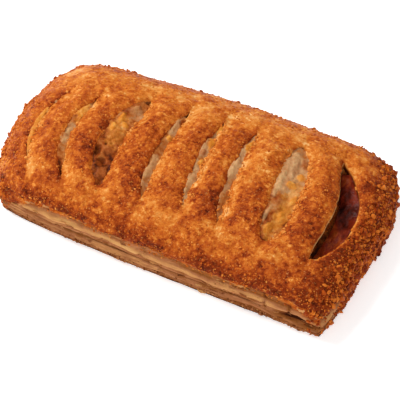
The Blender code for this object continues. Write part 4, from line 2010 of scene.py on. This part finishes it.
@dataclass
class Crumbs:
    """Crumbs baked onto the crust and the sides, thickest where the weight is high."""

    name: str
    count: int
    radii: tuple[float, float]
    seed: int
    weight: Callable[[np.ndarray, np.ndarray, np.ndarray], np.ndarray]
    browning: tuple[float, float]
    fewer_large: float = 2.5
    squash: tuple[float, float] = (0.4, 1.4)
    stand: tuple[float, float] = (-0.5, 0.35)
    mesh: bpy.types.Mesh | None = None

    def build(self, hosts: Sequence[bpy.types.Mesh]) -> None:
        """Scatters the crumbs over the hosts' vertices.

        Args:
            hosts: Meshes with the attributes u and v, which the weight is worked out from.
        """
        draw = np.random.default_rng(self.seed)
        points = np.concatenate([places(mesh) for mesh in hosts])
        out = np.concatenate([normals(mesh) for mesh in hosts])
        u, v = (np.concatenate([read(mesh, name) for mesh in hosts]) for name in ("u", "v"))
        weight = self.weight(u, v, points)
        picked = draw.choice(len(points), self.count, replace=False, p=weight / weight.sum())
        small, large = self.radii
        radius = small + (large - small) * draw.random(self.count) ** self.fewer_large
        squash = draw.uniform(*self.squash, (self.count, 3))
        axes = random_turns(draw, self.count) * (radius[:, None] * squash)[:, None, :]
        stand = draw.uniform(*self.stand, self.count)
        centres = points[picked] + out[picked] * (radius * stand)[:, None]
        centres[:, 2] = np.maximum(centres[:, 2], radius * 1.3)
        low, high = self.browning
        tones = low + (high - low) * draw.random(self.count)
        self.mesh = scatter(self.name, Scrap.CRUMB, centres, axes, tones)

    def dress(self, material: bpy.types.Material) -> bpy.types.Object:
        """Gives the crumbs their material and their place among the pieces."""
        return finish_piece(self.mesh, material, "pastry_lid")


def all_over(u: np.ndarray, v: np.ndarray, points: np.ndarray) -> np.ndarray:
    """Weight of the fine crumbs: in drifts over the whole crust, thicker towards its edges.

    Args:
        u: The u of each vertex.
        v: The v of each vertex.
        points: Its place.

    Returns:
        The weight of each vertex.
    """
    drifts = smoothstep(0.35, 0.75, fractal(points, 0.008, 2, 401))
    edges = smoothstep(0.8, 1.0, np.maximum(np.abs(u), np.abs(v)))
    return (0.15 + drifts + edges) * (points[:, 2] > SHAPE.rim * 0.8)


def right_end(u: np.ndarray, v: np.ndarray, points: np.ndarray) -> np.ndarray:
    """Weight of the coarse crumbs that cover the right end down to its foot.

    Args:
        u: The u of each vertex.
        v: The v of each vertex.
        points: Its place.

    Returns:
        The weight of each vertex.
    """
    drifts = 0.3 + smoothstep(0.3, 0.7, fractal(points, 0.006, 2, 403))
    bare = smoothstep(-0.80, -0.62, v) + 0.12
    return smoothstep(0.86, 0.99, u) * drifts * bare


def left_and_back(u: np.ndarray, v: np.ndarray, points: np.ndarray) -> np.ndarray:
    """Weight of the crumbs along the left end and the back edge."""
    left, back = smoothstep(-0.93, -1.0, u), 1.3 * smoothstep(0.93, 1.0, v)
    return (left + back) * (0.2 + smoothstep(0.3, 0.7, fractal(points, 0.006, 2, 407)))


def foot(u: np.ndarray, v: np.ndarray, points: np.ndarray) -> np.ndarray:
    """Weight of the dark crumbs along the foot of the front."""
    low = smoothstep(0.0042, 0.0012, points[:, 2]) * (points[:, 2] > 0.0004)
    return low * (v < -ON_EDGE) * (0.1 + smoothstep(0.4, 0.8, fractal(points, 0.008, 2, 409)))


def right_lips(u: np.ndarray, v: np.ndarray, points: np.ndarray) -> np.ndarray:
    """Weight of the golden crumbs on the right lips of the slits."""
    drifts = 0.1 + smoothstep(0.35, 0.7, fractal(points, 0.005, 2, 411))
    return SHAPE.golden(u, v, 0.0004, 0.0012) * drifts


def end_face(u: np.ndarray, v: np.ndarray, points: np.ndarray) -> np.ndarray:
    """Weight of the largest crumbs, which stand out from the right end."""
    return (u > 0.985) * (points[:, 2] > 0.004) * smoothstep(-0.80, -0.55, v)


def crumb_kinds() -> list[Crumbs]:
    """The six kinds of crumb, in the order in which they are scattered.

    Returns:
        The kinds, not yet built.
    """
    return [
        Crumbs("crumbs_fine", 6500, (0.00018, 0.00055), 41, all_over, (0.25, 0.65)),
        Crumbs("crumbs_lips", 1500, (0.00030, 0.00100), 61, right_lips, (0.14, 0.46)),
        Crumbs("crumbs_right", 6200, (0.00028, 0.00120), 43, right_end, (0.38, 0.95)),
        Crumbs("crumbs_end", 420, (0.00070, 0.00170), 67, end_face, (0.45, 0.95)),
        Crumbs("crumbs_left", 4800, (0.00022, 0.00105), 47, left_and_back, (0.35, 0.80)),
        Crumbs("crumbs_foot", 900, (0.00025, 0.00070), 53, foot, (0.30, 0.80)),
    ]


@dataclass
class Flakes:
    """Thin leaves of pastry that have lifted off the layered sides."""

    count: int = 420
    lengths: tuple[float, float] = (0.0005, 0.0019)
    width_shares: tuple[float, float] = (0.3, 0.55)
    thicknesses: tuple[float, float] = (0.0004, 0.0008)
    browning: tuple[float, float] = (0.1, 0.6)
    lowest: float = 0.0012
    seed: int = 59
    mesh: bpy.types.Mesh | None = None

    def build(self, hosts: Sequence[bpy.types.Mesh]) -> None:
        """Lays the flakes along the front and back of the hosts.

        Args:
            hosts: The layered sides, with the attribute v.
        """
        draw = np.random.default_rng(self.seed)
        points = np.concatenate([places(mesh) for mesh in hosts])
        open_side = np.abs(np.concatenate([read(mesh, "v") for mesh in hosts])) > ON_EDGE
        drifts = smoothstep(0.35, 0.75, fractal(points, 0.006, 2, 421))
        weight = open_side * (points[:, 2] > self.lowest) * drifts
        picked = draw.choice(len(points), self.count, replace=False, p=weight / weight.sum())
        front = np.sign(-points[picked, 1])
        yaw = draw.normal(0.0, 0.18, self.count)
        tilt = draw.normal(0.0, 0.45, self.count)
        length = self.lengths[0] + (self.lengths[1] - self.lengths[0]) * draw.random(self.count) ** 2
        along = np.column_stack([np.cos(yaw), np.sin(yaw), draw.normal(0.0, 0.12, self.count)])
        outward = np.column_stack([np.sin(yaw), -np.cos(yaw), -np.sin(tilt)]) * front[:, None]
        up = np.cross(along, outward)
        width = length * draw.uniform(*self.width_shares, self.count)
        thickness = draw.uniform(*self.thicknesses, self.count)
        sizes = np.column_stack([length, width, thickness])
        axes = np.stack([along, outward, up], axis=2) * sizes[:, None, :]
        tones = draw.uniform(*self.browning, self.count)
        self.mesh = scatter("flakes", Scrap.FLAKE, points[picked], axes, tones)

    def dress(self, material: bpy.types.Material) -> bpy.types.Object:
        """Gives the flakes their material and their place among the pieces."""
        return finish_piece(self.mesh, material, "pastry_lid")


# ---------------------------------------------------------------- studio


@dataclass(frozen=True)
class Lamp:
    """One square area light: its name, place, width in metres and power in watts."""

    name: str
    place: tuple[float, float, float]
    size: float
    power: float


@dataclass
class Studio:
    """Floor, soft light and camera."""

    lamps: tuple[Lamp, ...] = (
        Lamp("key", (-0.62, 0.16, 0.78), 0.6, 10.0),
        Lamp("fill", (0.3, -0.8, 0.6), 1.0, 4.5),
    )
    surrounding: float = 0.42
    floor_size: float = 3.0
    azimuth: float = math.radians(23.56)
    elevation: float = math.radians(52.84)
    roll: float = math.radians(0.70)
    distance: float = 0.7357
    lens: float = 161.0
    look: tuple[float, float, float] = (0.0051, -0.0079, 0.0120)
    floor_glow: float = 0.4

    def build(self) -> None:
        """Makes the floor, the lights and the camera."""
        self.floor()
        self.lights()
        self.camera()

    def floor(self) -> None:
        """A plain pale floor with a little unevenness in its tone."""
        bm = bmesh.new()
        bmesh.ops.create_grid(bm, x_segments=1, y_segments=1, size=self.floor_size)
        mesh = to_mesh(bm, "floor")
        bench = Bench("pale_floor")
        colour = bench.ramp(bench.noise(0.3, 2.0), ((0.0, "FBFBFA"), (1.0, "FFFFFF")))
        finish = bench.done(
            Base_Color=colour,
            Roughness=0.9,
            Specular_IOR_Level=0.1,
            Emission_Color=(1.0, 1.0, 1.0),
            Emission_Strength=self.floor_glow,
        )
        mesh.materials.append(finish)
        floor = bpy.data.objects.new("floor", mesh)
        bpy.context.scene.collection.objects.link(floor)

    def lights(self) -> None:
        """A soft key from the upper left, a weak fill from the front and a pale surrounding."""
        world = bpy.data.worlds.new("studio_world")
        world.use_nodes = True
        background = world.node_tree.nodes["Background"]
        background.inputs["Color"].default_value = (1.0, 1.0, 1.0, 1.0)
        background.inputs["Strength"].default_value = self.surrounding
        bpy.context.scene.world = world
        for lamp in self.lamps:
            self.area(lamp)

    @staticmethod
    def area(lamp: Lamp) -> None:
        """Adds one area light that points at the strudel.

        Args:
            lamp: The light.
        """
        data = bpy.data.lights.new(lamp.name, "AREA")
        data.size = lamp.size
        data.energy = lamp.power
        light = bpy.data.objects.new(lamp.name, data)
        light.location = lamp.place
        light.rotation_euler = (-Vector(lamp.place)).to_track_quat("-Z", "Y").to_euler()
        bpy.context.scene.collection.objects.link(light)

    def camera(self) -> None:
        """A long lens that looks down on the strudel from the front right."""
        data = bpy.data.cameras.new("camera")
        data.lens = self.lens
        data.sensor_width = 36.0
        data.clip_start, data.clip_end = 0.01, 10.0
        camera = bpy.data.objects.new("camera", data)
        a, e = self.azimuth, self.elevation
        back = Vector((math.sin(a) * math.cos(e), -math.cos(a) * math.cos(e), math.sin(e)))
        target = Vector(self.look) + Vector(SHAPE.shift())
        camera.location = target + back * self.distance
        turn = (-back).to_track_quat("-Z", "Y").to_matrix().to_4x4()
        turn = turn @ Matrix.Rotation(self.roll, 4, "Z")
        camera.rotation_euler = turn.to_euler()
        bpy.context.scene.collection.objects.link(camera)
        bpy.context.scene.camera = camera


def main() -> None:
    """Builds and dresses the strudel's pieces in order."""
    logging.basicConfig(level=logging.INFO, format="%(name)s: %(message)s")
    bpy.context.scene.view_settings.view_transform = "Standard"
    Studio().build()
    crust = TopCrust()
    crust.build()
    lid_foot = SHAPE.seam_height + SHAPE.gap
    cracks = (0.0485, 0.0590)
    lid_edge = LayeredEdge(
        "lid_layers", "pastry_lid", LID_FOLDS, 201, lid_foot, SHAPE.rim, cracks=cracks, follows_rim=True
    )
    base_edge = LayeredEdge(
        "base_layers", "pastry_base", BASE_FOLDS, 301, 0.0, SHAPE.seam_height, foot_reach=0.0010
    )
    lid_edge.build()
    base_edge.build()
    filling = CreamFilling()
    filling.build()
    ham = HamSlice()
    ham.build()
    toast, layers = CrumbToast().material(), PuffLayers().material()
    for crumbs in crumb_kinds():
        crumbs.build([crust.mesh, lid_edge.mesh, base_edge.mesh])
        crumbs.dress(layers if crumbs.weight is foot else toast)
    flakes = Flakes()
    flakes.build([lid_edge.mesh, base_edge.mesh])
    crust.dress()
    for part in (lid_edge, base_edge, flakes):
        part.dress(layers)
    filling.dress()
    ham.dress()


if __name__ == "__main__":
    main()
